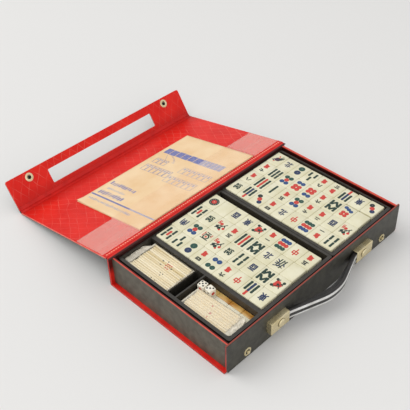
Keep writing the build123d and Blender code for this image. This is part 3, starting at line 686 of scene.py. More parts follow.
# %% Characters
CHARACTERS = {
    "ten_thousand": [
        (-3.2, 3.0, 3.2, 3.4), (-1.2, 4.4, -1.4, 2.4), (1.3, 4.6, 1.1, 2.4), (-2.4, 1.4, 2.4, 1.6),
        (2.4, 1.6, 2.2, -0.4), (-2.4, 1.4, -2.1, -0.6), (-2.1, -0.6, 2.2, -0.4), (0, 1.5, -0.3, -3.2),
        (-3.2, -2, 3, -1.6), (3, -1.6, 2.4, -4), (2.4, -4, 1.2, -3.4),
    ],
    "east": [
        (-4.4, 4.2, 4.4, 4.2), (0, 6.2, 0, -6.4), (-3.2, 2.2, 3.2, 2.2), (-3.2, -1.8, 3.2, -1.8),
        (-3.2, 2.2, -3.2, -1.8), (3.2, 2.2, 3.2, -1.8), (-3.2, 0.2, 3.2, 0.2), (-0.5, -2, -4.6, -5.6),
        (0.5, -2, 4.6, -5.6),
    ],
    "south": [
        (-4, 4.4, 4, 4.4), (0, 6.4, 0, 2.4), (-4.2, 2.2, 4.2, 2.2), (-4.2, 2.2, -4.2, -5.8),
        (4.2, 2.2, 4.2, -5.8), (-2.2, 0, 2.2, 0), (-2.4, -2.4, 2.4, -2.4), (0, 1, 0, -5.4),
        (-1.6, 1.6, -1, 0.4), (1.6, 1.6, 1, 0.4),
    ],
    "west": [
        (-4.6, 4.6, 4.6, 4.6), (-3.8, 2, 3.8, 2), (-3.8, 2, -3.8, -5.2), (3.8, 2, 3.8, -5.2),
        (-3.8, -5.2, 3.8, -5.2), (-1.2, 4.6, -2, -1.6), (1.2, 4.6, 1.2, -1.2), (1.2, -1.2, 3, -1.4),
        (-3, -3.2, 3, -3.2),
    ],
    "north": [
        (-1.4, 5.8, -1.4, -5.8), (-4.6, 2.6, -1.4, 2.6), (-4.8, -4.6, -1.4, -2.4), (1.4, 5.8, 1.4, -4.4),
        (4.4, 3.4, 1.4, 1.2), (1.4, -4.6, 4.6, -4.6), (4.6, -4.6, 4.6, -2.8),
    ],
    "centre": [
        (-3.6, 3.2, 3.6, 3.2), (-3.6, -1.2, 3.6, -1.2), (-3.6, 3.2, -3.6, -1.2), (3.6, 3.2, 3.6, -1.2),
        (0, 6.4, 0, -6.4),
    ],
    "green": [
        (-4.4, 4.6, -1, 2.4), (4.4, 4.6, 1, 2.4), (-2.6, 5.6, -4.6, 0.8), (2.6, 5.6, 4.6, 0.8),
        (-3.6, 0.6, -0.6, 0.6), (0.8, 0.8, 3.8, 0.8), (-3.6, 0.6, -3.4, -2), (-3.4, -2, -1, -2.2),
        (-1, -2.2, -1.8, -5.4), (0.6, -1, 4, -5.2), (4, -1.2, 0.4, -5.4), (0, 4, 0, 1),
        (-4.6, -4.2, -2.6, -5.6), (1.4, -3.2, 4.4, -3.2),
    ],
}
print(sum(len(lines) for lines in CHARACTERS.values()), "strokes in", len(CHARACTERS), "characters")

# %% Flowers, lantern and bird
SPRAYS = {
    "rose": dots("r", (-1.6, 0.6, 2.9), (1.6, 2.2, 2.6), (1.2, -1.4, 2.6))
    + dots("k", (-0.2, 0.6, 1.2))
    + strokes("k", 0.9, (-5.6, -4.4, 2.4, 6.6), (-4.6, 5.4, -2.4, 1.4), (4.2, -3.6, 1.6, -6.8))
    + strokes("k", 0.9, (-5.6, -1, -3, -2.6))
    + dots("g", (4.9, 5.4, 1.6), (-4.8, -5.2, 1.5))
    + dots("k", (4.8, -5.6, 1.4)),
    "season": strokes("r", 0.8, (4.6, -7.6, 4.6, -1.4), (6.4, -7.6, 6.4, -1.4), (4.6, -4.4, 6.4, -4.4))
    + strokes("k", 1.0, (-5.4, -5.6, 0.6, 3.6), (-2.4, -1.2, 3.6, 1.4), (-3.4, -3, -6, 1.6))
    + strokes("k", 1.0, (0.6, 3.6, 5, 6.4))
    + [dot(-0.4, 4.8, 1.8, "g"), dot(3.6, 3.2, 1.6, "k")]
    + dots("r", (-5.4, 2.6, 1.5), (1.6, -3, 1.7), (-2.6, 6.8, 1.1)),
    "bamboo": strokes("g", 1.2, (-4.6, -7, -2.6, 6.8), (-1.4, -7, 0.2, 5.8), (2, -7, 2.8, 4.4))
    + strokes("n", 1.0, (-2.6, 3, 5.2, 7.2), (0, 0.6, 5.6, 2.6), (-3.6, -2, -6.6, 1.6), (2.4, -2, 6.2, -4.6))
    + strokes("k", 0.8, (-6, 5, -3, 4.4), (3.2, 0.4, 6, -0.4), (-1, -4.4, -4.6, -5.4)),
    "lantern": [dot(0, 0.6, 3.4, "g"), dot(0, 0.6, 2.1, "c"), dot(0, 0.6, 1.2, "r")]
    + strokes("k", 0.9, (-5.4, 4.6, 5.4, 4.6), (-4.2, -3.8, 4.4, -3.8), (0, -3.6, 0, -7))
    + strokes("k", 0.9, (-3, -6.4, 3.4, -6.8))
    + strokes("r", 0.8, (5.4, -6.4, 5.4, 1.4), (-5.2, -6.6, -5.2, -2.2)),
    "bird": dots("p", (-0.6, 0.6, 3.1), (2.6, 3.4, 1.9))
    + [dot(2.9, 3.8, 0.6, "c"), dot(-3.4, -1.4, 2.0, "g")]
    + strokes("k", 1.0, (3.8, 4, 5.8, 4.6), (-3, -2, -7, -3.2), (-3, -1, -7, -6.2), (-2, -2.4, -4.6, -7.6))
    + strokes("r", 0.9, (1.6, 5.2, 2.4, 7.2), (-0.6, -2.4, 0.2, -6.2), (0.2, -6.2, 2.2, -6.6)),
}
print(len(SPRAYS), "sprays")

# %% Laying the marks
def marks_for(name):
    """The marks of one tile by its short name; a final f turns them upside down."""
    kind = name.rstrip("0123456789bf")
    rank = name[len(kind) :].rstrip("f")
    if name in SPRAYS or name == "blank":
        return [(*mark[:-2], 1.3 * mark[-2], mark[-1]) for mark in SPRAYS.get(name, [])]
    if kind == "circle" and rank == "1":
        turns = [k * math.pi / 6 for k in range(12)]
        petals = [dot(5.1 * math.cos(turn), 5.1 * math.sin(turn), 0.4, "c") for turn in turns]
        return [dot(0, 0, 6.8, "k")] + petals + [dot(0, 0, 3.5, "r"), dot(0, 0, 0.6, "c")]
    if kind == "circle":
        size, spots = CIRCLES[rank]
        return [mark for a, b, ink in spots for mark in ring(a, b, size, ink)]
    if kind == "stick" and rank == "8":
        lean = [(-5.4, 4.9, 0.0), (-2.1, 4.9, 0.6), (2.1, 4.9, -0.6), (5.4, 4.9, 0.0)]
        both = lean + [(a, -b, -turn) for a, b, turn in lean]
        return [mark for a, b, turn in both for mark in bamboo(a, b, 7.8, "g", turn)]
    if kind == "stick":
        return [mark for a, b, length, ink in STICKS[rank] for mark in bamboo(a, b, length, ink)]
    if kind == "number":
        top = strokes("k", 1.3, *shrunk(NUMBERS[rank], 6.4))
        return top + strokes("r", 1.6, *shrunk(CHARACTERS["ten_thousand"], -4.4))
    ink = {"centre": "r", "green": "g"}.get(name, "n")
    return strokes(ink, 1.45, *shrunk(CHARACTERS[name]))


def ink_marks(builder, marks, place, top, turned):
    """Adds a tile's marks to a bmesh, each a hair higher than the one before."""
    upright = place @ move(0, 0, top) @ rotate(-90 if turned else 90)
    for step, (*numbers, ink) in enumerate(marks):
        height = 0.16 + 0.004 * step
        if len(numbers) == 3:
            a, b, radius = numbers
            disc(builder, upright @ move(a, b, 0), radius, height, 12, INK_NUMBER[ink])
        else:
            a0, b0, a1, b1, width = numbers
            length = math.hypot(a1 - a0, b1 - b0)
            spot = upright @ move((a0 + a1) / 2, (b0 + b1) / 2, 0)
            spot = spot @ Matrix.Rotation(math.atan2(b1 - b0, a1 - a0), 4, "Z")
            spot = spot @ Matrix.Diagonal((length + 0.5 * width, width, height, 1))
            slab(builder, spot, INK_NUMBER[ink])


print("marks of a green dragon:", len(marks_for("green")))

# %% Marks on the tiles
TILE_ROWS = {
    "left": [
        "stick5 south stick5 circle1",
        "stick3f circle5 green blank",
        "circle2 lantern season west",
        "number4 season number5 east",
        "circle4 green stick9 rose",
        "number6 stick4 stick8 number1",
        "centre west north circle9",
        "stick7 stick8 bamboo centre",
        "east rose blank number5",
    ],
    "right": [
        "green number8 number7 bird",
        "stick7 stick9 stick6 north",
        "circle3 stick2 circle5 circle2",
        "number4 number5 circle6f stick3",
        "north circle5 circle6 number9",
        "centre number7 number6 number3f",
        "circle9b number2 stick8 stick7f",
        "number1f west circle7f east",
        "stick4 season blank circle3",
    ],
}
for side, spots in places.items():
    marks_mesh = bmesh.new()
    for row, column, place in spots:
        name = TILE_ROWS[side][row].split()[column]
        ink_marks(marks_mesh, marks_for(name), place, TILE[2], name.endswith("f"))
    print(side, "marks:", len(marks_mesh.faces), "faces")
    add_piece(side + "_tile_marks", marks_mesh, ink_materials, "tray_" + side, "tile_cream", smooth=False)

# %% [markdown]
# Four spare tiles stand on edge in the deep part of the left tray, faces to the left, and two dice rest on
# the last of them. A die is a cube with well rounded edges; its pips are drilled and painted, one of them
# large and red.

# %% Spare tiles
SPARE_PITCH = 18.7
SPARE_Y0 = -84.5
SPARE_FACE_X = -105.95
SPARE_BACK_X = -96.75
spare_faces = bmesh.new()
spare_backs = bmesh.new()
for number in range(4):
    y = SPARE_Y0 + TILE[1] / 2 + number * SPARE_PITCH
    lean = rotate(random.uniform(-0.3, 0.3))
    middle_z = TRAY_FLOOR + TILE[0] / 2
    face_at = TABLE @ move(SPARE_FACE_X, y, middle_z) @ lean
    back_at = TABLE @ move(SPARE_BACK_X, y, middle_z) @ lean
    rounded_block(spare_faces, (TILE[2] - TILE_BACK, TILE[1] - 0.1, TILE[0]), 0.9, face_at)
    rounded_block(spare_backs, (TILE_BACK, TILE[1] - 0.1, TILE[0]), 0.8, back_at)
piece = add_piece("spare_tile_ivory", spare_faces, [lightened_ivory], "tray_left", "tile_cream")
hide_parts("spare_tile_faces")
piece = add_piece("spare_tile_amber", spare_backs, [amber], "tray_left", "tile_amber")
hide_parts("spare_tile_backs")
print("spare tiles done")

# %% Dice
DIE = 9.8
PIPS = {
    1: [(0, 0)],
    2: [(-2.4, 2.4), (2.4, -2.4)],
    3: [(-2.5, 2.5), (0, 0), (2.5, -2.5)],
    4: [(-2.3, -2.3), (-2.3, 2.3), (2.3, -2.3), (2.3, 2.3)],
    5: [(-2.5, -2.5), (-2.5, 2.5), (2.5, -2.5), (2.5, 2.5), (0, 0)],
    6: [(-2.3, b) for b in (-2.7, 0, 2.7)] + [(2.3, b) for b in (-2.7, 0, 2.7)],
}
SIDE_TURNS = [Matrix.Identity(4), rotate(-90, "Y"), rotate(90, "X"), rotate(90, "Y"), rotate(-90, "X")]
DICE_Z0 = 30.6
DOT_DEPTH = 0.12
# Dice are moulded from urea and tumbled, which leaves a warm white with a soft gloss.
bone = start_material("white_urea_dice", "#EEE6D2", 0.25, Coat_Weight=0.3)
mottle(bone, "#E8DFC8", "#F2ECDC", 4.0)
dice_mesh = bmesh.new()
pip_mesh = bmesh.new()
for x, y, turn, numbers in (
    (-104.3, -11.475, 4.0, (5, 1, 4, 6, 3)),
    (-103.6, -22.375, -6.0, (3, 2, 1, 5, 6)),
):
    middle = TABLE @ move(x, y, DICE_Z0 + DIE / 2) @ rotate(turn)
    rounded_block(dice_mesh, (DIE, DIE, DIE), 1.4, middle, segments=3)
    for side_turn, number in zip(SIDE_TURNS, numbers):
        radius, ink = (2.2, "r") if number == 1 else (1.15, "k")
        for a, b in PIPS[number]:
            spot = middle @ side_turn @ move(a, b, DIE / 2)
            disc(pip_mesh, spot, radius, DOT_DEPTH, 14, INK_NUMBER[ink])
piece = add_piece("dice_bodies", dice_mesh, [bone], "tray_left", "dice_white")
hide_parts("dice")
add_piece("dice_pips", pip_mesh, ink_materials, "tray_left", "dice_white", smooth=False)
print("two dice")

# %% [markdown]
# The counting sticks are cast resin slips, 65 mm long and rounded at their edges, bundled in five layers.
# The bundles settle, so each stick is pushed a little along its length and turned a little, more so at the
# top. A few show their inked dots. The front bundle fans out towards its near end, clear of the dice.

# %% Counting sticks
# Resin that is cast in long slips keeps faint streaks along them, like ivory, and a satin shine.
resin = start_material("ivory_resin_sticks", "#E8D6AC", 0.35)
mottle(resin, "#D3BB80", "#F2E5C4", 3.4, low=0.3, high=0.6, stretch=(1, 0.02, 1))
pale_resin = start_material("pale_resin_sticks", "#EBDBB5", 0.35)
mottle(pale_resin, "#E3CC9A", "#F3E4C0", 3.4, low=0.3, high=0.6, stretch=(1, 0.02, 1))
STICK = (3.0, 65.0, 2.4)
STICK_PITCH = 3.05
LAYER_PITCH = 2.45
STICK_Z0 = 24.15
# Each bundle's x and y, sticks in each layer, fan in degrees, resin, gap between sticks and rounding.
BUNDLES = {
    "back": (-137.35, 12.5, (14, 14, 14, 14, 14), 0.0, resin, 0.25, 0.75),
    "front": (-137.85, -77.0, (8, 8, 8, 9, 9), 2.4, pale_resin, 0.04, 0.5),
}
for name, (x0, y0, stack, fan, material, gap, rounding) in BUNDLES.items():
    sticks = bmesh.new()
    for layer, across in enumerate(stack):
        loose = 0.3 + 0.7 * (layer == len(stack) - 1)
        for number in range(across):
            spread = math.radians(fan) * number / across * (layer > 2)
            x = x0 + (number + 0.5) * STICK_PITCH + spread * STICK[1] / 2
            y = y0 + STICK[1] / 2 + random.uniform(-1.2, 1.2) * loose + 60 * spread
            z = STICK_Z0 + layer * LAYER_PITCH + STICK[2] / 2
            turn = math.radians(random.uniform(-0.25, 0.25) * loose) + spread
            at = TABLE @ move(x, y, z) @ Matrix.Rotation(turn, 4, "Z")
            rounded_block(sticks, (STICK[0] - gap, STICK[1] - 2.4, STICK[2] - 0.05), rounding, at)
    print(name, "bundle:", len(sticks.faces), "faces")
    piece = add_piece(name + "_resin_sticks", sticks, [material], "tray_left", "stick_cream")
    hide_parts(name + "_sticks")

# %% Dots on the sticks
dot_mesh = bmesh.new()
STICK_DOTS = [
    (-110.8, 33.5, 1.0, "k"), (-110.8, 36.6, 0.8, "r"), (-110.8, 39.4, 0.8, "r"), (-110.8, 42.4, 1.0, "r"),
    (-107.8, 36.0, 1.0, "r"), (-107.8, 39.0, 1.0, "r"), (-107.8, 42.0, 1.0, "r"), (-107.8, 50.2, 1.0, "k"),
    (-113.9, 37.2, 0.9, "r"), (-113.9, 40.4, 0.9, "r"), (-113.9, 48.6, 0.9, "k"), (-123.0, 35.0, 0.7, "k"),
    (-123.0, 38.6, 0.7, "k"), (-126.1, 36.6, 0.7, "k"), (-135.2, 34.6, 0.7, "k"), (-135.2, 40.6, 0.7, "k"),
    (-104.8, 44.0, 0.8, "k"), (-127.2, -45.6, 1.5, "r"), (-133.3, -46.2, 0.9, "r"), (-118.0, -40.4, 1.0, "r"),
]
stick_top = STICK_Z0 + 4 * LAYER_PITCH + STICK[2]
for x, y, radius, ink in STICK_DOTS:
    disc(dot_mesh, TABLE @ move(x, y, stick_top), radius, DOT_DEPTH, 10, INK_NUMBER[ink])
add_piece("stick_dots", dot_mesh, ink_materials, "tray_left", "stick_cream", smooth=False)
print(len(STICK_DOTS), "stick dots")

# %% [markdown]
# Each bundle is in a sleeve of thin clear polypropylene. The film is stiff and shiny, so it doesn't drape
# like cloth: it lies flat on the sticks, folds in sharp small facets where it runs past their ends, and
# glints. A grid is wrapped round a section, one side of the grid meeting the other, and its rows are
# squeezed and crumpled by noise beyond the sticks. How milky the film looks is kept on its vertices,
# because doubled and crumpled film shows, while film that lies flat on a stick doesn't; along the front
# sleeve's lip a milkier strip is a painted highlight.

# %% Film
# Blown film is clear and glossy; only its creases scatter light and look milky.
film = start_material("clear_polypropylene_film", "#F4ECD8", 0.16, Alpha=0.2)
veil = add_node(film, "Attribute", output="Fac", attribute_name="veil")
facets = {"Vector": "Object", "Scale": grain(7.69), "Detail": 1.0, "Distortion": 0.8}
crumple = add_node(film, "TexNoise", facets)
emboss(film, crumple, 0.5, 0.35)
ends = {"Value": crumple, "From Min": 0.4, "From Max": 0.75, "To Min": 0.8, "To Max": 1.5}
glint = add_node(film, "MapRange", ends)
alpha = add_node(film, "Math", {0: veil, 1: glint}, operation="MULTIPLY", use_clamp=True)
drive(film, "Alpha", alpha)
print("film:", len(film.node_tree.nodes), "nodes")

# %% Sections of the sleeves
def round_section(corners, turn):
    """A point on a closed outline of (x, z) corners, for a turn from 0 to 1."""
    along = turn * len(corners)
    step = int(along) % len(corners)
    part = along - int(along)
    first, second = corners[step], corners[(step + 1) % len(corners)]
    return [one + part * (two - one) for one, two in zip(first, second)]


SLEEVE_FLOOR = 23.85


def back_section(y):
    """The back sleeve fits its bundle closely."""
    return [
        (-137.8, 23.9), (-137.9, 30), (-137.7, 36.8), (-127, 37.0), (-116, 37.1), (-105, 37.0),
        (-94.4, 36.8), (-94.3, 30), (-94.4, 23.9),
        (-105, SLEEVE_FLOOR), (-116, SLEEVE_FLOOR), (-127, SLEEVE_FLOOR),
    ]


def front_section(y):
    """The front sleeve follows its bundle's fan and reaches over the edge of the spare tiles."""
    edge = -109.7 + 3.2 * min(max((-12 - y) / 65, 0.0), 1.0)
    return [
        (-138.3, 23.9), (-138.4, 30), (-138.2, 36.8), (-129, 37.1), (-120, 37.2), (edge - 1.5, 37.1),
        (edge, 36.2), (edge + 0.3, 33), (edge - 0.6, 31.0),
        (-112.3, 31.0), (-112.6, 24.0), (-125, SLEEVE_FLOOR),
    ]


print(len(back_section(0)), "corners to a sleeve's section")

# %% Film sleeves
# Each sleeve's section, its ends and its sticks' ends in y, its middle in x and z, and its veil over the
# sticks and beyond them.
SLEEVES = {
    "back": (back_section, (11.9, 87.9), (12.5, 77.4), (-119.0, 27.5), (0.03, 0.5)),
    "front": (front_section, (-84.4, -10.4), (-77.0, -11.6), (-127.0, 27.5), (0.17, 0.5)),
}
DOME_REACH = 10.6
TUCKED_REACH = 3.0
GATHER_REACH = 8.0
TOP_CREASE = 0.12
END_CREASE = 0.16
for name, (section, ends, sticks, middle, veils) in SLEEVES.items():
    sleeve = bmesh.new()
    bmesh.ops.create_grid(sleeve, x_segments=96, y_segments=80, size=0.5)
    milk = sleeve.verts.layers.float.new("veil")
    for vert in sleeve.verts:
        y = ends[0] + (vert.co.y + 0.5) * (ends[1] - ends[0])
        x, z = round_section(section(y), vert.co.x + 0.5)
        past = max(sticks[0] - y, y - sticks[1], 0.0)
        # Beyond the sticks the film sinks in a dome, sooner where the back sleeve is tucked under.
        tucked = min(max((x + 105) / 5, 0.0), 1.0) if name == "back" else 0.0
        reach = DOME_REACH - (DOME_REACH - TUCKED_REACH) * tucked
        dome = max(1 - (past / reach) ** 5, 0.002) ** 0.2
        # It creases along the top and most at its ends, and the front sleeve is gathered at its near end.
        crease = noise.noise(Vector((0.3 * x, 0.12 * y, 0.2 * z + (5 if name == "front" else 0))))
        ripple = TOP_CREASE * (z > 35) + END_CREASE * min(past, 5)
        gathered = math.sqrt(max(1 - (past / GATHER_REACH) ** 2, 0.01))
        width = gathered if name == "front" and y < sticks[0] else 1 - 0.008 * past
        x = middle[0] + (x - middle[0]) * width
        z = middle[1] + (z - middle[1]) * dome + ripple * (1.6 * crease + 0.3)
        vert.co = Vector((x, y, max(z, SLEEVE_FLOOR))) * MM
        # It is milky beyond the sticks and on the back sleeve's side, and along the front sleeve's lip a
        # milkier strip is a painted highlight.
        side = 0.5 if name == "back" and x > -95.2 and z > 27 else 0.0
        lip_highlight = 0.75 if name == "front" and x > front_section(y)[6][0] - 1.0 and z > 32 else 0.0
        beyond = max(sticks[0] + 1.3 - y, y - sticks[1] + 1.3, 0.0)
        vert[milk] = veils[0] + (veils[1] - veils[0]) * max(side, lip_highlight, min(beyond / 1.5, 1.0))
    bmesh.ops.remove_doubles(sleeve, verts=sleeve.verts, dist=0.00002)
    bmesh.ops.smooth_vert(sleeve, verts=sleeve.verts, factor=0.5, use_axis_x=True, use_axis_z=True)
    bmesh.ops.recalc_face_normals(sleeve, faces=sleeve.faces)
    piece = add_piece(name + "_film_sleeve", sleeve, [film], "tray_left", "clear_film")
    thicken(piece, "film", 0.1, offset=-1)
    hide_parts(name + "_stick_bag")
    print(name, "sleeve:", len(piece.data.polygons), "faces")

# %% [markdown]
# The booklet is a folded sheet of tan paper with blue print. It lies in the pocket by its hinge side and
# slides out towards the flap. Its print is only suggested here: rules, blocks and small frames, with no
# words.

# %% Booklet
# Uncoated paper is matt and uneven in tone, and its fibres roughen the surface a little.
paper = start_material("tan_paper", "#EACB9C", 0.8)
mottle(paper, "#E6C393", "#EED2A8", 35.0)
# Paper's fibres are finer than this half millimetre, which is as coarse as they need to be to show.
fibre = add_node(paper, "TexNoise", {"Vector": "Object", "Scale": grain(0.556), "Detail": 3.0})
emboss(paper, fibre, 0.05, 0.4)
SHEET = (201.6, 132.6)
SHEET_X = 4
SHEET_R = 74.5
leaf_mesh = bmesh.new()
bmesh.ops.create_grid(leaf_mesh, x_segments=60, y_segments=40, size=0.5)
for vert in leaf_mesh.verts:
    x = SHEET_X + vert.co.x * SHEET[0]
    r = SHEET_R + vert.co.y * SHEET[1]
    corner = max(0.0, (-x - 86) / 11) * max(0.0, (r - 118) / 23)
    vert.co = LID @ Vector((x, r, 1.5 + 1.6 * corner))
leaf = add_piece("booklet_cover_leaf", leaf_mesh, [paper], "booklet", "paper")
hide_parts("booklet")
thicken(leaf, "paper", 0.22)
pages = bmesh.new()
for number, inset in enumerate((0.0, 0.5, 0.2, 0.7)):
    at = LID @ move(SHEET_X + 0.15 * inset, SHEET_R - 0.3 * inset, 0.25 + 0.31 * number)
    rounded_block(pages, (SHEET[0] - inset, SHEET[1] - inset, 0.26), 0.08, at, segments=1)
add_piece("booklet_inner_leaves", pages, [paper], "booklet", "paper", smooth=False)
print("cover leaf:", len(leaf.data.polygons), "faces")

# %% Print on the booklet
# Printing ink soaks into such paper, so it stays as matt as the paper and thin in places.
print_blue = start_material("blue_print", "#6E74A6", 0.75)
mottle(print_blue, "#666CA2", "#8589B2", 3.0)
print_grey = start_material("pale_blue_print", "#A9A9BA", 0.75)
mottle(print_grey, "#A09FB4", "#B8B4BF", 3.0)
marks = bmesh.new()


def printed(x, r, width, length, pale=False):
    """A printed bar on the cover leaf, width along the hinge and length away from it."""
    slab(marks, LID @ move(x, r, 1.63) @ Matrix.Diagonal((width, length, 0.05, 1)), int(pale))


def text_row(x, r_low, r_high, height, pitch, pale=False):
    """A row of small upright dashes that stands for a line of print."""
    r = r_low
    while r < r_high:
        wide = pitch * random.uniform(0.35, 0.7)
        dash_x = x + random.uniform(-0.12, 0.12) * height
        printed(dash_x, r + wide / 2, height * random.uniform(0.55, 1), wide, pale)
        r += pitch


def frame_row(x, r_low, r_high, width, length, pale=False):
    """A row of small outlined tiles."""
    r = r_low
    while r + length < r_high:
        for side in (-0.5, 0.5):
            printed(x + side * width, r + length / 2, 0.4, length, pale)
            printed(x, r + length / 2 + side * length, width, 0.7, pale)
        printed(x + 0.25 * width, r + length / 2, 0.3 * width, 0.35 * length, True)
        r += length + 1.2


printed(-73.2, 98.0, 2.6, 82.0)
printed(-73.2, 33.0, 2.6, 48.0, pale=True)
text_row(-42.0, 84.0, 133.0, 8.2, 4.4)
text_row(-53.5, 93.0, 127.0, 4.0, 2.6, pale=True)
text_row(-64.0, 84.0, 133.0, 8.0, 4.6)
text_row(-82.0, 46.0, 134.0, 4.6, 3.2, pale=True)
for block in range(6):
    printed(57.5 + 0.5 * (block % 2), 66.5 + 12.4 * block, 12.6, 11.4)
    printed(57.5, 22.5 + 7.0 * block, 13.6, 6.2, pale=True)
frame_row(31.0, 104.0, 137.0, 12.0, 7.4)
frame_row(29.0, 17.0, 76.0, 14.0, 8.0, pale=True)
frame_row(11.0, 76.0, 136.0, 15.0, 7.8)
frame_row(4.0, 20.0, 76.0, 15.0, 8.0, pale=True)
for step in range(9):
    printed(50 - 1.7 * step, 113 - 4.0 * step + 0.25 * step * step, 0.5, 4.4, pale=step > 5)
    printed(48 - 2.0 * step, 121 - 1.4 * step, 1.8, 0.5)
print("booklet print:", len(marks.faces) // 6, "bars")
add_piece("booklet_print", marks, [print_blue, print_grey], "booklet", "paper", smooth=False)

# %% [markdown]
# The pocket is a wide strip of soft clear PVC, stitched under a red welt along the hinge and open towards
# the flap. It swells over the booklet, clings to the vinyl beside it, and turns the red below it pink; on
# the paper it hardly shows, which the veil on its vertices says. The welt is the stitched strip of the
# hinge: it runs from the spine across to the lid, over the pocket's edge.

# %% Pocket
def pocket_height(x, r):
    """Height of the film over the lid's lining."""
    beside = max(-97.4 - x, x - 105.4, 0.0)
    before = max(7.9 - r, 0.0)
    swell = max(0.0, 1 - beside / 2.6) * max(0.0, 1 - before / 1.7)
    swell = swell * swell * (3 - 2 * swell)
    ripple = noise.noise(Vector((0.035 * x, 0.05 * r, 3.0)))
    return 0.2 + 1.75 * swell + 0.12 * (1 + ripple) * (1 - swell)


# Soft PVC is cloudier than stiff film and has a duller shine, with faint drawn streaks.
pocket_film = start_material("clear_pvc_pocket", "#FFC2B4", 0.3, Alpha=0.3)
milky = add_node(pocket_film, "Attribute", output="Fac", attribute_name="veil")
drawn = {"Vector": "Object", "Scale": (0.12, 1.0, 1.0), "Rotation": (0, 0, 0.5)}
streaks = add_node(pocket_film, "Mapping", drawn)
cloud = add_node(pocket_film, "TexNoise", {"Vector": streaks, "Scale": grain(16.67), "Detail": 1.0})
ends = {"Value": cloud, "From Min": 0.3, "From Max": 0.7, "To Min": 0.88, "To Max": 1.12}
streak = add_node(pocket_film, "MapRange", ends)
veil = add_node(pocket_film, "Math", {0: milky, 1: streak}, operation="MULTIPLY", use_clamp=True)
drive(pocket_film, "Alpha", veil)
emboss(pocket_film, cloud, 0.4, 0.2)
POCKET_START = 6.1
POCKET_DEPTH = 55.8
pocket = bmesh.new()
bmesh.ops.create_grid(pocket, x_segments=180, y_segments=34, size=0.5)
milk = pocket.verts.layers.float.new("veil")
for vert in pocket.verts:
    x = vert.co.x * COVER_STRIP
    r = POCKET_START + (vert.co.y + 0.5) * POCKET_DEPTH
    vert.co = LID @ Vector((x, r, pocket_height(x, r)))
    beside = max(-96.4 - x, x - 104.4, 0.0)
    vert[milk] = 0.025 + 0.275 * min(beside / 1.2, 1.0)
piece = add_piece("pocket_film", pocket, [pocket_film], "lid", "clear_film")
thicken(piece, "film", 0.2)
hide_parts("lid_pocket")
print("pocket film:", len(piece.data.polygons), "faces")

# %% Welt
WELT = [(94.75, 44.66), (95.5, 44.86), (96.4, 44.86), (97.3, 44.6)]
LID_WELT = [2.9, 3.4, 3.9, 4.3, 4.6, 5.0, 5.3, 5.7, 6.1, 6.4, 6.6, 6.75]
WELT_STEPS = len(WELT) + len(LID_WELT) - 1
welt = bmesh.new()
bmesh.ops.create_grid(welt, x_segments=160, y_segments=WELT_STEPS, size=0.5)
for vert in welt.verts:
    x = vert.co.x * COVER_STRIP
    step = round((vert.co.y + 0.5) * WELT_STEPS)
    if step < len(WELT):
        vert.co = Vector((x, *WELT[step])) * MM
    else:
        r = LID_WELT[step - len(WELT)]
        rise = min(max((r - 5.9) / 0.5, 0.0), 1.0)
        dimple = 0.06 * math.exp(-((r - 3.7) ** 2) / 0.2)
        vert.co = LID @ Vector((x, r, 0.14 + 0.5 * rise - dimple))
piece = add_piece("hinge_welt", welt, [rim_vinyl], None, "red_vinyl")
thicken(piece, "vinyl", 0.25)
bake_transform(piece)
print("welt:", len(piece.data.polygons), "faces")

# %% [markdown]
# A lockstitch in pale thread holds the welt: on the surface it is a row of short dashes, about three to a
# centimetre, with rounded ends.

# %% Stitches
# Spun thread is matt, and the ridges of its strands show as a fine slant.
thread = start_material("pale_thread", "#FFB592", 0.6)
TWIST = 0.449  # from strand to strand; a wave texture repeats ten times in each pi of its scale
twist = add_node(thread, "TexWave", {"Vector": "Object", "Scale": math.pi / 10 * grain(TWIST)})
emboss(thread, twist, 0.1)
stitches = bmesh.new()
STITCH_PITCH = 3.5
STITCHES = 87
for number in range(STITCHES):
    at = LID @ move(-151.0 + number * STITCH_PITCH, 3.7, 0.17)
    rounded_block(stitches, (1.9, 1.5, 0.24), 0.08, at, segments=1)
add_piece("hinge_stitches", stitches, [thread], "lid", "red_vinyl")
print(STITCHES, "stitches")

# %% [markdown]
# Vinyl runs on across every fold, so three bands close the gaps that the boards leave: the skin outside the
# hinge, and lining and skin at the flap's fold. Each is a short curve pulled along the hinge and given its
# thickness. The bands at the flap's fold are made in halves that meet on the fold.

# %% A band over a fold
def fold_band(name, section, half_length, thickness_mm, material, slot, bodies, start, end):
    """A strip with a section of (y, z) points in millimetres, pulled along the hinge; its bodies, start and
    end are not used.
    """
    band = bmesh.new()
    corners = [band.verts.new(Vector((-half_length, y, z)) * MM) for y, z in section]
    edges = [band.edges.new(pair) for pair in zip(corners, corners[1:])]
    steps = 24
    for _ in range(steps):
        made = bmesh.ops.extrude_edge_only(band, edges=edges)["geom"]
        moved = [item for item in made if isinstance(item, bmesh.types.BMVert)]
        bmesh.ops.translate(band, verts=moved, vec=(2 * half_length / steps * MM, 0, 0))
        edges = [item for item in made if isinstance(item, bmesh.types.BMEdge)]
    bmesh.ops.recalc_face_normals(band, faces=band.faces)
    piece = add_piece(name, band, [material], None, slot)
    thicken(piece, "vinyl", thickness_mm)
    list(bodies)
    [c * MM for c in start]
    [c * MM for c in end]
    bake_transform(piece)


def on_plane(matrix, pairs):
    """(y, z) in millimetres of (distance from the fold, height) pairs on a sloping plane."""
    points = [matrix @ Vector((0, r, z)) / MM for r, z in pairs]
    return [(point.y, point.z) for point in points]


print("the fold is at", on_plane(LID, [(LID_LENGTH, 0)]))

# %% Fold bands
SKIN = (154.8, 0.4, leatherette, "black_leatherette")
LINING = (154.6, 0.35, fold_shade_vinyl, "red_vinyl")
hinge_outside = [(95.12, 43.7), (95.5, 43.5), (95.85, 43.0), (95.95, 42.4), (95.98, 41.9), (96.1, 41.55)]
fold_band("hinge_skin", hinge_outside, *SKIN, ("case", "lid"), (0, 95.2, 43.6), (0, 96.0, 41.6))

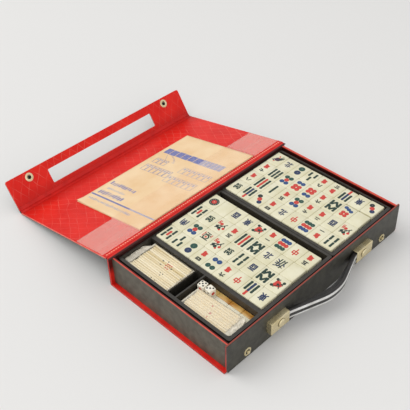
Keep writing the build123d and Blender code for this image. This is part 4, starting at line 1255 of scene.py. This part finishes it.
crease = (FOLD_Y - 0.55, FOLD_Z + 1.35)
lid_heights = ((5.6, 0.2), (4.6, 0.22), (3.4, 0.28), (2.2, 0.42))
lid_side = on_plane(LID, [(LID_LENGTH - r, h) for r, h in lid_heights])
flap_side = on_plane(FLAP, [(r, 0.1 + h) for r, h in ((2.2, 0.7), (3.4, 0.32), (4.6, 0.16), (6, 0.1))])
outer_lid = on_plane(LID, [(LID_LENGTH - r, h) for r, h in ((2.6, -3.05), (1.5, -3.0), (0.6, -2.75))])
outer_flap = on_plane(FLAP, [(0.7, -2.55), (1.6, -2.45), (2.6, -2.4)])
(lid_y, lid_z), (flap_y, flap_z) = outer_lid[-1], outer_flap[0]
outer_mid = ((lid_y + flap_y) / 2 + 0.2, (lid_z + flap_z) / 2 - 0.15)
for name, points, look, bodies, start, end in (
    ("fold_lining_lid_half", lid_side + [crease], LINING, ("lid", "crease"), lid_side[-1], crease),
    ("fold_lining_flap_half", [crease] + flap_side, LINING, ("crease", "flap"), crease, flap_side[-1]),
    ("fold_skin_lid_half", outer_lid + [outer_mid], SKIN, ("lid", "crease"), outer_lid[0], outer_mid),
    ("fold_skin_flap_half", [outer_mid] + outer_flap, SKIN, ("crease", "flap"), outer_mid, outer_flap[-1]),
):
    fold_band(name, points, *look, bodies, (0, *start), (0, *end))
print("five fold bands")

# %% [markdown]
# The table is a pale seamless sweep and the light is that of a product shot: one wide soft lamp above and
# behind, a weaker one from the front, and a bright surround that fills the shadows.

# %% Floor
floor_paint = start_material("pale_floor", "#E0DFDC", 0.9, Specular_IOR_Level=0.1)
floor_mesh = bmesh.new()
bmesh.ops.create_grid(floor_mesh, x_segments=1, y_segments=1, size=6.0)
mesh = bpy.data.meshes.new("floor")
floor_mesh.to_mesh(mesh)
floor_mesh.free()
mesh.materials.append(floor_paint)
floor = bpy.data.objects.new("floor", mesh)
bpy.context.scene.collection.objects.link(floor)
print("floor:", len(floor.data.polygons), "face")

# %% World and lamps
world = bpy.data.worlds.new("studio")
bpy.context.scene.world = world
world.use_nodes = True
surround = world.node_tree.nodes["Background"]
surround.inputs["Color"].default_value = (0.985, 0.985, 1.0, 1.0)
surround.inputs["Strength"].default_value = 0.8


def area_lamp(name, place, aim, size, power):
    """A square soft lamp aimed at a point, in metres."""
    data = bpy.data.lights.new(name, "AREA")
    data.size = size
    data.energy = power
    lamp = bpy.data.objects.new(name, data)
    direction = Vector(aim) - Vector(place)
    lamp.matrix_world = move(*place) @ direction.to_track_quat("-Z", "Y").to_matrix().to_4x4()
    bpy.context.scene.collection.objects.link(lamp)


area_lamp("key", (-1.3, 1.9, 2.6), (0, 0.05, 0), 2.4, 40)
area_lamp("fill", (-0.6, -1.5, 1.0), (0, 0, 0), 1.6, 6)
bpy.context.scene.view_settings.view_transform = "Standard"
print("world and lamps in place")
